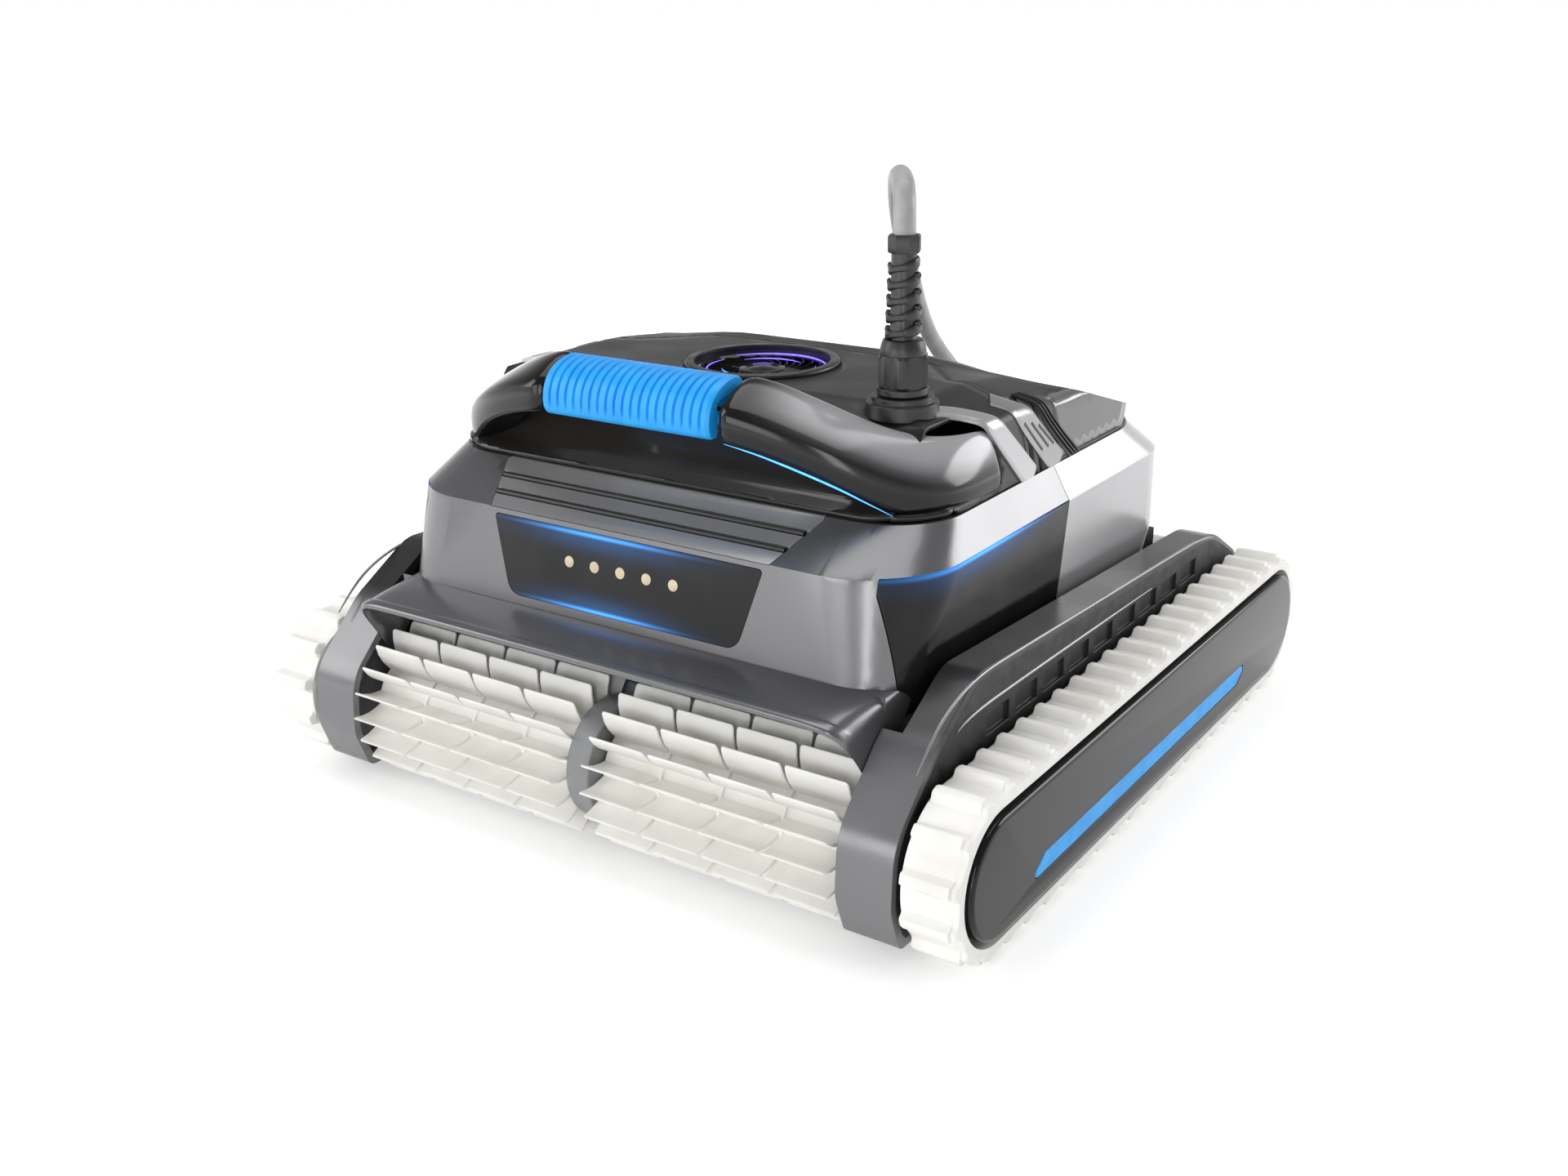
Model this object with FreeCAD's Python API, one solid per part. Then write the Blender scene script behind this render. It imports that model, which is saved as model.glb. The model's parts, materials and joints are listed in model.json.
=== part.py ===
# Corded wall-climbing pool cleaner: two belt tracks, four fin-brush halves, a pump outlet on top
# and a cable gland with a bend relief.  Millimetres.  The front faces -Y, +X is on the right as
# seen from the front, Z is up from the floor, and the origin is the middle of the footprint.
import FreeCAD, Part
import math
import os

os.makedirs("parts", exist_ok=True)
V = FreeCAD.Vector

# ---- driving sizes -------------------------------------------------------------------------
half_width = 212.0            # outer faces of the two side plates
wheel_y = 174.0               # wheel centres ahead of and behind the middle
belt_tip_r = 41.0             # belt lugs over a wheel: also the wheel height above the floor
lug_height = 5.0
belt_thickness = 4.0
belt_width = 28.0
lug_count = 48
plate_r = 29.0                # rounded ends of the side plates
body_half = 157.0             # widest half width of the body shell
body_front = -170.0           # foot of the front face
body_rear = 156.0             # foot of the rear face
waist_z = 106.0               # crease above the bumpers
crease_z = 154.0              # where the walls turn in to the sloping shoulder
shoulder_z = 171.0            # where the shoulder ends and the covers begin
deck_half = 147.0             # half width of the covers where they meet the shoulder
deck_front = -134.0
deck_rear = 126.0
slope_y = 14.0                # the top falls away in a straight slope behind this line
skirt_z = 86.0                # lower edge of the body shell
top_z = 214.0                 # flat top of the front cover
wall = 3.0
outlet_y = -45.0              # pump axis
outlet_r = 36.0               # bore of the outlet duct
gland_x = 108.0
gland_y = -86.0
brush_tip_r = 40.0
brush_core_r = 22.0
fin_rows = 18
fin_thickness = 1.3
cable_d = 10.4
motor_half = 80.0             # half width of the sealed motor box
door_half = 112.0             # half width of the filter door in the floor
handle_half = 50.0            # half length of the coloured grip

# ---- clearances ----------------------------------------------------------------------------
running = 0.05                # radial gap of a shaft in its bush
seat = 0.03                   # radial gap of a fixed bush in its seat
free = 0.5                    # gap between bodies that pass each other
panel_gap = 0.6               # visible joint between fixed panels

# ---- sizes that follow ---------------------------------------------------------------------
wheel_z = belt_tip_r
belt_base_r = belt_tip_r - lug_height
belt_inner_r = belt_base_r - belt_thickness
belt_in = half_width - 2.0 - belt_width      # inner edge of a belt
belt_out = half_width - 2.0
frame_out = belt_in - 4.0                    # outer face of a side frame
frame_in = frame_out - 6.0
fender_in = 150.0                            # inner edge of a fender where it passes a brush
tray_half = 150.0                            # outer face of the chassis side walls
tray_end = wheel_y - brush_tip_r - 3.0       # outer face of the chassis end walls
floor_low = 11.0                             # ground clearance under the chassis
floor_high = 16.0
shaft_r = 5.0
bush_r = 8.0
brush_end = fender_in - 3.0                  # outer end of a brush half
collar_half = 7.0
sprocket_r = 19.4
sprocket_z = wheel_z + belt_inner_r - free - sprocket_r
wheel_r = belt_inner_r - free
wheel_in = belt_in + 2.0
wheel_out = belt_out - 8.0

shapes = {}


# ---- helpers -------------------------------------------------------------------------------
def box(x0, x1, y0, y1, z0, z1):
    return Part.makeBox(x1 - x0, y1 - y0, z1 - z0, V(x0, y0, z0))


def cyl_x(y, z, r, x0, x1):
    return Part.makeCylinder(r, x1 - x0, V(x0, y, z), V(1, 0, 0))


def cyl_y(x, z, r, y0, y1):
    return Part.makeCylinder(r, y1 - y0, V(x, y0, z), V(0, 1, 0))


def cyl_z(x, y, r, z0, z1):
    return Part.makeCylinder(r, z1 - z0, V(x, y, z0), V(0, 0, 1))


def rounded(points):
    """Edges through (a, b, radius) corners, as 2-D points: straight runs and corner arcs."""
    n = len(points)
    pieces = []
    for i in range(n):
        a = V(points[i - 1][0], points[i - 1][1], 0)
        p = V(points[i][0], points[i][1], 0)
        c = V(points[(i + 1) % n][0], points[(i + 1) % n][1], 0)
        r = points[i][2] if len(points[i]) > 2 else 0
        if r <= 0:
            pieces.append((p, None, p))
            continue
        u = (a - p).normalize()
        w = (c - p).normalize()
        half = math.acos(max(-1.0, min(1.0, u.dot(w)))) / 2
        reach = min(r / math.tan(half), 0.49 * (a - p).Length, 0.49 * (c - p).Length)
        r = reach * math.tan(half)
        bisector = (u + w).normalize()
        middle = p + bisector * (r / math.sin(half) - r)
        pieces.append((p + u * reach, middle, p + w * reach))
    return pieces


def outline(points, place):
    """Closed wire of rounded corners; place turns (a, b) into a point in space."""
    pieces = rounded(points)
    edges = []
    for i, (start, middle, end) in enumerate(pieces):
        if middle is not None:
            edges.append(Part.Arc(place(start), place(middle), place(end)).toShape())
        nxt = pieces[(i + 1) % len(pieces)][0]
        if (nxt - end).Length > 1e-6:
            edges.append(Part.LineSegment(place(end), place(nxt)).toShape())
    return Part.Wire(edges)


def prism_x(points, x0, x1):
    wire = outline(points, lambda p: V(x0, p.x, p.y))
    return Part.Face(wire).extrude(V(x1 - x0, 0, 0))


def prism_y(points, y0, y1):
    wire = outline(points, lambda p: V(p.x, y0, p.y))
    return Part.Face(wire).extrude(V(0, y1 - y0, 0))


def prism_z(points, z0, z1):
    wire = outline(points, lambda p: V(p.x, p.y, z0))
    return Part.Face(wire).extrude(V(0, 0, z1 - z0))


def left(shape):
    """Mirror a right-hand shape to the other side of the machine."""
    return shape.mirror(V(0, 0, 0), V(1, 0, 0))


def rear(shape):
    """Mirror a front shape to the back of the machine."""
    return shape.mirror(V(0, 0, 0), V(0, 1, 0))


def join(*parts):
    return parts[0].multiFuse(list(parts[1:])).removeSplitter()


def solids_of(shape):
    return Part.makeCompound(shape.Solids) if len(shape.Solids) > 1 else shape.Solids[0]


def keep(name, shape):
    shapes[name] = solids_of(shape)


def stadium(radius, half, z):
    """Stadium outline in (y, z) with its round ends half from the middle."""
    return [(-half - radius, z - radius, radius), (half + radius, z - radius, radius),
            (half + radius, z + radius, radius), (-half - radius, z + radius, radius)]


def stadium_solid(radius, half, z, x0, x1):
    ends = [cyl_x(s * half, z, radius, x0, x1) for s in (-1, 1)]
    return join(box(x0, x1, -half, half, z - radius, z + radius), *ends)


# ---- tracks --------------------------------------------------------------------------------
def belt_point(s, radius):
    """Point at path length s round the belt, out by radius from the wheel centre line."""
    straight = 2 * wheel_y
    turn = math.pi * belt_base_r
    s = s % (2 * straight + 2 * turn)
    if s < straight:
        return (-wheel_y + s, wheel_z + radius)
    s -= straight
    if s < turn:
        a = math.pi / 2 - s / belt_base_r
        return (wheel_y + radius * math.cos(a), wheel_z + radius * math.sin(a))
    s -= turn
    if s < straight:
        return (wheel_y - s, wheel_z - radius)
    s -= straight
    a = -math.pi / 2 - s / belt_base_r
    return (-wheel_y + radius * math.cos(a), wheel_z + radius * math.sin(a))


def belt_shape():
    path = 4 * wheel_y + 2 * math.pi * belt_base_r
    pitch = path / lug_count
    root = 3.6                     # half width of a lug where it meets the belt
    tip = 2.2
    points = []
    for i in range(lug_count):
        s = (i + 0.5) * pitch
        points.append(belt_point(s - root, belt_base_r))
        points.append(belt_point(s - tip, belt_tip_r))
        points.append(belt_point(s + tip, belt_tip_r))
        points.append(belt_point(s + root, belt_base_r))
    outer = prism_x(points, belt_in, belt_out)
    inner = stadium_solid(belt_inner_r, wheel_y, wheel_z, belt_in - 1, belt_out + 1)
    return outer.cut(inner)


def outer_plate_shape():
    x0 = wheel_out + 1.5
    face = stadium_solid(plate_r, wheel_y, wheel_z, x0, half_width)
    edges = [e for e in face.Edges if abs(e.BoundBox.XMin - half_width) < 0.01
             and abs(e.BoundBox.XMax - half_width) < 0.01]
    face = face.makeFillet(2.5, edges)
    for s in (-1, 1):
        face = face.cut(cyl_x(s * wheel_y, wheel_z, shaft_r + running, x0 - 1, half_width - 1.8))
    groove = prism_x(strip_outline(0.0), half_width - 2.0, half_width + 1)
    return face.cut(groove)


def strip_outline(inset):
    """Slanted accent strip along the lower half of the side plate."""
    low = wheel_z - 17.0 + inset
    high = wheel_z - 7.0 - inset
    return [(-150 + inset, low, 3), (112 - inset, low, 3), (128 - inset, high, 3), (-134 + inset, high, 3)]


def fender_outline(inset):
    """Side outline of a fender in (y, z), from the front foot over the top to the rear foot."""
    front = wheel_y + 37.0 - inset
    return [(-front + 8, floor_low - 3 + inset, 6), (-front, 30, 20), (-front + 2, 60, 30),
            (-176 + inset, 92 - inset, 40), (-138 + inset * 0.5, 114 - inset, 26), (150, 99 - inset, 60),
            (front - 16, 74, 30), (front, 44, 24), (front - 8, floor_low - 3 + inset, 6)]


def side_frame_shape():
    frame = prism_x(fender_outline(4.0), frame_in, frame_out)
    # rails inside the belt loop carry its two runs and the side plate
    rail_x1 = wheel_out + 1.5
    low = wheel_z - belt_inner_r
    rails = [box(frame_out, rail_x1, -132, 132, low, low + 8)]
    high = wheel_z + belt_inner_r
    for y0, y1 in ((-132, outlet_y - sprocket_r - 8), (outlet_y + sprocket_r + 8, 132)):
        rails.append(box(frame_out, rail_x1, y0, y1, high - 8, high))
    frame = join(frame, *rails)
    for s in (-1, 1):
        frame = frame.cut(cyl_x(s * wheel_y, wheel_z, bush_r + seat, frame_in - 1, frame_out + 1))
    frame = frame.cut(cyl_x(outlet_y, sprocket_z, bush_r + seat, frame_in - 1, frame_out + 1))
    # shallow bays between the ribs of the visible side wall
    for i in range(9):
        y0 = -128 + i * 29.0
        frame = frame.cut(box(frame_out - 2.0, frame_out + 1, y0, y0 + 22, wheel_z + belt_tip_r - 2, 90))
    return frame


def fender_shape():
    outer = prism_x(fender_outline(0.0), fender_in, frame_out)
    inner = prism_x(fender_outline(4.0), fender_in - 1, frame_out + 1)
    band = outer.cut(inner)
    # the band is open underneath, between the two feet, and narrower where it passes the body
    band = band.cut(box(0, half_width, -wheel_y - 8, wheel_y + 8, -20, 30))
    band = band.cut(box(0, body_half + 3, body_front - 2, body_rear + 16, 60, 200))
    # cheeks close the band's inner side at the front and rear, outside the brush ends
    cheek = prism_x(fender_outline(4.0), body_half + 3, body_half + 6)
    cheek = cheek.cut(box(0, half_width, -wheel_y + 24, wheel_y - 24, -20, 200))
    for s in (-1, 1):
        cheek = cheek.cut(cyl_x(s * wheel_y, wheel_z, bush_r + free, 0, half_width))
    return join(band, cheek)


# ---- rollers -------------------------------------------------------------------------------
def fin_outline(core, tip, rows, thick):
    """Core circle as short runs with straight radial fins standing on it, in (y, z)."""
    points = []
    for i in range(rows):
        a = 2 * math.pi * i / rows
        half = math.asin(thick / 2 / core)
        for r, side in ((core, -1), (tip, -1), (tip, 1), (core, 1)):
            y = r * math.cos(a) - side * thick / 2 * math.sin(a)
            z = r * math.sin(a) + side * thick / 2 * math.cos(a)
            if r == core:
                y = core * math.cos(a + side * half)
                z = core * math.sin(a + side * half)
            points.append((-wheel_y + y, wheel_z + z))
    return points


def brush_shape():
    x0 = collar_half + 1.0
    body = prism_x(fin_outline(brush_core_r, brush_tip_r, fin_rows, fin_thickness), x0, brush_end)
    step = (brush_end - x0) / 4
    slit = 1.2
    for i in (1, 2, 3):
        x = x0 + i * step
        ring = cyl_x(-wheel_y, wheel_z, brush_tip_r + 1, x - slit / 2, x + slit / 2)
        ring = ring.cut(cyl_x(-wheel_y, wheel_z, brush_core_r + 2, x - slit, x + slit))
        body = body.cut(ring)
    spigot = cyl_x(-wheel_y, wheel_z, 6.0, 0.4, x0)
    return join(body, spigot)


def wheel_shape():
    disc = cyl_x(-wheel_y, wheel_z, wheel_r, wheel_in, wheel_out)
    for i in range(6):
        a = math.radians(60 * i + 30)
        y = -wheel_y + 19.0 * math.cos(a)
        z = wheel_z + 19.0 * math.sin(a)
        disc = disc.cut(cyl_x(y, z, 6.5, wheel_in - 1, wheel_out + 1))
    shaft = cyl_x(-wheel_y, wheel_z, shaft_r, brush_end, half_width - 2.2)
    return join(disc, shaft)


def sprocket_shape():
    teeth = 14
    points = []
    for i in range(teeth):
        for r, off in ((sprocket_r - 2.2, -0.32), (sprocket_r, -0.18), (sprocket_r, 0.18),
                       (sprocket_r - 2.2, 0.32)):
            a = 2 * math.pi * (i + off) / teeth
            points.append((outlet_y + r * math.cos(a), sprocket_z + r * math.sin(a)))
    disc = prism_x(points, wheel_in, wheel_out)
    shaft = cyl_x(outlet_y, sprocket_z, shaft_r, motor_half - 8, wheel_out + 1.0)
    return join(disc, shaft)


def collar_shape():
    """Middle bearing of the two brush halves on one axle line, with its arm to the chassis."""
    ring = cyl_x(-wheel_y, wheel_z, brush_tip_r - 9, -collar_half, collar_half)
    arm = box(-collar_half + 2, collar_half - 2, -wheel_y, -tray_end, wheel_z - 9, wheel_z + 9)
    body = join(ring, arm)
    body = body.cut(box(-20, 20, -tray_end, 0, 0, 200))
    return body.cut(cyl_x(-wheel_y, wheel_z, 6.0 + running, -20, 20))


# ---- chassis -------------------------------------------------------------------------------
rim_z = 102.0                  # top of the chassis walls, where the shells are screwed down
screw_r = 2.0
tab_z = rim_z + 6.0
side_x = tray_half - wall - 5.0
end_y = tray_end - wall - 5.0
panel_fixings = [(side_x, -112.0), (side_x, -62.0)]
rear_side_fixings = [(side_x, 42.0), (side_x, 96.0)]
front_fixings = [(-110.0, -end_y), (110.0, -end_y)]
rear_fixings = [(-110.0, end_y), (110.0, end_y)]
both_sides = panel_fixings + rear_side_fixings
fixings = both_sides + [(-x, y) for x, y in both_sides] + front_fixings + rear_fixings


def tab(x, y, dx, dy):
    """Screw tab on the chassis rim, reaching out by dx or dy to the wall it belongs to."""
    x0, x1 = sorted((x - 6 * (1 if dx >= 0 else -1), x + (dx if dx else 6)))
    y0, y1 = sorted((y - 6 * (1 if dy >= 0 else -1), y + (dy if dy else 6)))
    return box(x0, x1, y0, y1, rim_z, tab_z).cut(cyl_z(x, y, screw_r + 0.2, rim_z - 1, tab_z + 1))


def chassis_shape():
    tray = box(-tray_half, tray_half, -tray_end, tray_end, floor_low, rim_z)
    tray = tray.cut(box(-tray_half + wall, tray_half - wall, -tray_end + wall, tray_end - wall,
                        floor_high, 120))
    tray = tray.cut(box(-door_half - free, door_half + free, door_y0 - 3 - free, door_y1 + free,
                        floor_low - 1, floor_high + 1))
    feet = []
    for sx in (-1, 1):
        for y in (-96, 84):
            x0, x1 = sorted((sx * tray_half, sx * frame_in))
            feet.append(box(x0, x1, y, y + 16, 18, 66))
    bosses = [box(x - 6, x + 6, y - 6, y + 6, floor_high, rim_z) for x, y in fixings]
    tray = join(tray, *feet, *bosses)
    for x, y in fixings:
        tray = tray.cut(cyl_z(x, y, screw_r + seat, rim_z - 14, rim_z + 1))
    for sx in (-1, 1):
        x0, x1 = sorted((sx * (tray_half - 8), sx * (tray_half + 1)))
        tray = tray.cut(cyl_x(outlet_y, sprocket_z, shaft_r + 1.5, x0, x1))
        x0, x1 = sorted((sx * door_half, sx * (door_half + 5.2)))
        tray = tray.cut(cyl_x(door_y0, door_z, 2.0 + running, x0, x1))
    return tray


door_y0 = 17.0                 # door hinge line
door_y1 = 110.0
door_z = (floor_low + floor_high) / 2
inlet_y = (50.0, 80.0)
inlet_x = (20.0, 90.0)
flap_y = inlet_y[0] - 5.0
flap_z = floor_high + 3.0


def door_shape():
    plate = box(-door_half, door_half, door_y0, door_y1, floor_low, floor_high)
    barrel = cyl_x(door_y0, door_z, (floor_high - floor_low) / 2, -door_half, door_half)
    pins = [cyl_x(door_y0, door_z, 2.0, s * door_half - 2 if s > 0 else s * door_half - 4,
                  s * door_half + 4 if s > 0 else s * door_half + 2) for s in (-1, 1)]
    door = join(plate, barrel, *pins)
    for s in (-1, 1):
        x0, x1 = sorted((s * inlet_x[0], s * inlet_x[1]))
        door = door.cut(box(x0, x1, inlet_y[0], inlet_y[1], floor_low - 1, floor_high + 1))
        ears = [box(x - 1.5, x + 1.5, flap_y - 3, flap_y + 3, floor_high, flap_z + 2.5)
                for x in (x0 - 4.5, x1 + 4.5)]
        door = join(door, *ears)
        door = door.cut(cyl_x(flap_y, flap_z, 1.0 + running, x0 - 8, x1 + 8))
    return door


def flap_shape():
    x0, x1 = inlet_x
    leaf = box(x0 - 2, x1 + 2, flap_y, inlet_y[1] + 3, floor_high + 0.4, floor_high + 2.0)
    barrel = cyl_x(flap_y, flap_z, 1.8, x0 - 2.5, x1 + 2.5)
    pin = cyl_x(flap_y, flap_z, 1.0, x0 - 5.5, x1 + 5.5)
    return join(leaf, barrel, pin)


def basket_shape():
    x, y0, y1, z0, z1 = 128.0, 12.0, 116.0, floor_high, 150.0
    t = 2.0
    basket = box(-x, x, y0, y1, z0, z1)
    basket = basket.cut(box(-x + t, x - t, y0 + t, y1 - t, z0 - 1, z1 - t))
    for i in range(8):
        x0 = -x + 10 + i * 30.5
        basket = basket.cut(box(x0, x0 + 22, y0 - 1, y1 + 1, z0 + 12, z1 - 12))
    for i in range(3):
        yy = y0 + 10 + i * 33
        basket = basket.cut(box(-x - 1, x + 1, yy, yy + 24, z0 + 12, z1 - 12))
    # two ribs on its crown carry the rear cover
    fall = (top_z - shoulder_z - 0.6) / (deck_rear - slope_y)
    y2, y3 = slope_y + 16, deck_rear - 16
    top2 = top_z - wall - fall * (y2 - slope_y) * (deck_rear - slope_y) / (deck_rear - slope_y - wall)
    top3 = top_z - wall - fall * (y3 - slope_y) * (deck_rear - slope_y) / (deck_rear - slope_y - wall)
    ribs = [prism_x([(y2, z1 - t), (y3, z1 - t), (y3, top3), (y2, top2)], xx, xx + 3) for xx in (-62, 59)]
    return join(basket, *ribs)


# ---- sealed drive --------------------------------------------------------------------------
box_y0 = -104.0
box_y1 = 6.0
box_z0 = 34.0
box_z1 = 150.0


def motor_box_shape():
    case = box(-motor_half, motor_half, box_y0, box_y1, box_z0, box_z1)
    case = case.cut(box(-motor_half + wall, motor_half - wall, box_y0 + wall, box_y1 - wall,
                        box_z0 + wall, box_z1 + 1))
    lugs = []
    for s in (-1, 1):
        x0, x1 = sorted((s * motor_half, s * (tray_half - wall)))
        lugs.append(box(x0, x1, -90, -70, 84, 92))
        lugs.append(box(x0, x1, -18, 0, 84, 92))
    case = join(case, *lugs)
    return case.cut(cyl_x(outlet_y, sprocket_z, shaft_r + running, -motor_half - 1, motor_half + 1))


def motor_lid_shape():
    lid = box(-motor_half, motor_half, box_y0, box_y1, box_z1, box_z1 + 4)
    neck = cyl_z(0, outlet_y, 12, box_z1 + 4, box_z1 + 10)
    posts = [cyl_z(x, y, 5, box_z1 + 4, top_z - wall) for x in (-66, 66) for y in (-72, -14)]
    lid = join(lid, neck, *posts)
    return lid.cut(cyl_z(0, outlet_y, 4.0 + running, box_z1 - 1, box_z1 + 11))


def pump_motor_shape():
    body = join(cyl_z(0, outlet_y, 29, 76, 138), cyl_z(0, outlet_y, 14, 138, box_z1))
    return body.cut(cyl_z(0, outlet_y, 4.0 + running, 110, box_z1 + 1))


def drive_motors_shape():
    end = motor_half - wall
    pair = []
    for s in (-1, 1):
        x0, x1 = sorted((s * 12, s * end))
        body = cyl_x(outlet_y, sprocket_z, 16, x0, x1)
        b0, b1 = sorted((s * (end - 8), s * (end + 1)))
        pair.append(body.cut(cyl_x(outlet_y, sprocket_z, shaft_r + running, b0, b1)))
    return Part.makeCompound(pair)


def propeller_shape():
    z0 = box_z1 + 16
    hub = cyl_z(0, outlet_y, 9, z0, z0 + 20)
    shaft = cyl_z(0, outlet_y, 4.0, 112, z0)
    blades = []
    for i in range(4):
        blade = box(0, outlet_r - 2.5, -1.5, 1.5, -9, 9)
        blade.rotate(V(0, 0, 0), V(1, 0, 0), 52)
        blade.translate(V(0, outlet_y, z0 + 10))
        blade.rotate(V(0, outlet_y, 0), V(0, 0, 1), 90 * i + 20)
        blades.append(blade)
    rotor = join(hub, *blades)
    rotor = rotor.common(cyl_z(0, outlet_y, outlet_r - 1.5, z0 - 2, z0 + 22))
    return join(rotor, shaft)


# ---- body shells ---------------------------------------------------------------------------
def plan(half, y0, y1, front_r, rear_r, inset):
    """Plan outline of the body with its own front and rear corner radii."""
    return [(-half + inset, y0 + inset, front_r - inset), (half - inset, y0 + inset, front_r - inset),
            (half - inset, y1 - inset, rear_r - inset), (-half + inset, y1 - inset, rear_r - inset)]


def body_band(z0, size0, z1, size1, inset):
    """Ruled volume between two plan outlines."""
    low = outline(plan(*size0, inset), lambda p: V(p.x, p.y, z0))
    high = outline(plan(*size1, inset), lambda p: V(p.x, p.y, z1))
    return Part.makeLoft([low, high], True, True)


skirt_size = (body_half - 6, body_front + 12, body_rear - 12, 26, 44)
waist_size = (body_half - 4, body_front, body_rear, 30, 48)
crease_size = (body_half, body_front + 7, body_rear - 6, 46, 54)
shoulder_size = (deck_half + 0.6, deck_front - 0.6, deck_rear + 0.6, 36, 50)


def body_volume(inset):
    low = body_band(skirt_z, skirt_size, waist_z, waist_size, inset)
    high = body_band(waist_z, waist_size, crease_z, crease_size, inset)
    slope = body_band(crease_z, crease_size, shoulder_z, shoulder_size, inset)
    return join(low, high, slope)


def body_shell():
    inner = body_volume(wall)
    return body_volume(0.0).cut(inner)


def body_hollow(inset):
    """Inside of the body shell, open at the top."""
    drop = crease_z - inset
    rim = shoulder_z - inset
    return join(body_band(skirt_z - 1, skirt_size, waist_z, waist_size, inset),
                body_band(waist_z, waist_size, drop, crease_size, inset),
                body_band(drop, crease_size, rim, shoulder_size, inset),
                body_band(rim, shoulder_size, shoulder_z + 1, shoulder_size, inset))


def bumper_shape(half):
    """Lip over a brush, with its two ends brought down beside it."""
    y = body_front
    lip = [(y + 2, waist_z + 1), (y - 33, waist_z - 0.5, 2), (y - 35, waist_z - 5, 1.5),
           (y - 28, waist_z - 5.5), (y + 2, waist_z - 5)]
    end = [(y + 2, waist_z + 1), (y - 33, waist_z - 0.5, 3), (y - 34, waist_z - 8, 2),
           (y - 24, skirt_z - 2, 6), (y + 4, skirt_z - 2)]
    pieces = [prism_x(lip, -half, half)]
    for s in (-1, 1):
        x0, x1 = sorted((s * (half - 15), s * half))
        pieces.append(prism_x(end, x0, x1))
    return join(*pieces)


seam_y = -4.0                 # joint between the front and the rear body shells
panel_top = crease_z          # upper edge of the black side panels
panel_low = 90.0
panel_front = body_front + 14


def side_panel_region(grow):
    """Box round the black side panel, on the right side."""
    return box(body_half - 20, body_half + 5, panel_front - grow, seam_y - panel_gap + grow,
               panel_low - grow, panel_top + grow)


def led_window_outline(grow):
    """Window in the front face, as seen from the front, in (x, z)."""
    return [(-70 - grow, 112 - grow, 9), (70 + grow, 112 - grow, 9), (82 + grow, 151 + grow, 2),
            (-82 - grow, 151 + grow, 2)]


def grille_outline(grow):
    """Slatted insert in the sloping shoulder above the window."""
    return [(-85 - grow, crease_z - grow, 1), (85 + grow, crease_z - grow, 1),
            (98 + grow, shoulder_z + grow, 1), (-98 - grow, shoulder_z + grow, 1)]


def shells():
    shell = body_volume(0.0).cut(body_hollow(wall))
    bumper = bumper_shape(fender_in - 1)
    back_bumper = rear(bumper_shape(118.0))
    back_bumper.translate(V(0, body_rear + body_front, 0))
    front_half = box(-400, 400, -400, seam_y - panel_gap / 2, 0, 400)
    rear_half = box(-400, 400, seam_y + panel_gap / 2, 400, 0, 400)
    front = join(shell.common(front_half), bumper)
    back = join(shell.common(rear_half), back_bumper)
    clear = box(-tray_half - panel_gap, tray_half + panel_gap, -tray_end - panel_gap, tray_end + panel_gap,
                0, 102 + panel_gap)
    panel = shell.common(side_panel_region(0)).cut(clear)
    panel = join(panel, *[tab(x, y, 10, 0) for x, y in panel_fixings])
    front = front.cut(side_panel_region(panel_gap))
    front = front.cut(left(side_panel_region(panel_gap))).cut(clear)
    front = join(front, *[tab(x, y, 0, -44) for x, y in front_fixings])
    back = back.cut(clear)
    back = join(back, *[tab(x, y, 0, 31) for x, y in rear_fixings])
    for x, y in rear_side_fixings:
        back = join(back, tab(x, y, 10, 0), tab(-x, y, -10, 0))
    rim = body_hollow(wall).cut(body_hollow(wall + 1.5))
    face = shell.common(box(-120, 120, -400, -120, 0, 400))
    window = face.common(prism_y(led_window_outline(0), -400, -120))
    grille = face.common(prism_y(grille_outline(0), -400, -120))
    lens_rim = rim.common(prism_y(led_window_outline(4), -400, -150)).common(box(-99, 99, -400, 0, 0, 152.3))
    grille_rim = rim.common(prism_y(grille_outline(3), -400, -100)).common(box(-110, 110, -400, 0, 152.7, shoulder_z - 0.4))
    front = front.cut(prism_y(led_window_outline(panel_gap / 2), -400, -120))
    front = front.cut(prism_y(grille_outline(panel_gap / 2), -400, -120))
    for share in (0.31, 0.65):
        y = crease_size[1] + share * (shoulder_size[1] - crease_size[1])
        z = crease_z + share * (shoulder_z - crease_z)
        groove = box(-200, 200, y - 1.8, y + 1.8, z - 3, z + 3)
        grille = grille.cut(groove.cut(body_hollow(1.8)))
    keep("front_shell", front)
    keep("rear_shell", back)
    keep("side_panel_right", panel)
    keep("side_panel_left", left(panel))
    keep("led_window", join(window, lens_rim))
    keep("front_grille", join(grille, grille_rim))


# ---- covers --------------------------------------------------------------------------------
deck_z = shoulder_z + 4.0      # top of the covers under the handle arms
raised_half = 128.0            # half width of the raised middle between the arms


def cover_across(inset):
    """Across the machine, in (x, z): steep sides and a gently crowned top."""
    h = deck_half - inset
    return [(-h, 150), (-h, shoulder_z + 0.6), (-h + 7, top_z - 10 - inset, 7), (-h + 21, top_z - 5 - inset, 12),
            (-h + 36, top_z - inset, 20), (h - 36, top_z - inset, 20), (h - 21, top_z - 5 - inset, 12),
            (h - 7, top_z - 10 - inset, 7), (h, shoulder_z + 0.6), (h, 150)]


def cover_along(inset):
    """Along the machine, in (y, z): recess under the handle, flat top, straight slope to the rear."""
    y0 = deck_front + inset
    y1 = deck_rear - inset
    return [(y0, 150), (y0, shoulder_z + 2.6 - inset, 0), (y0 + 12, deck_z + 3 - inset, 14),
            (y0 + 33, top_z - 6 - inset, 10), (y0 + 46, top_z - inset, 16), (slope_y, top_z - inset, 16),
            (y1, shoulder_z + 0.6 - inset), (y1, 150)]


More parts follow.
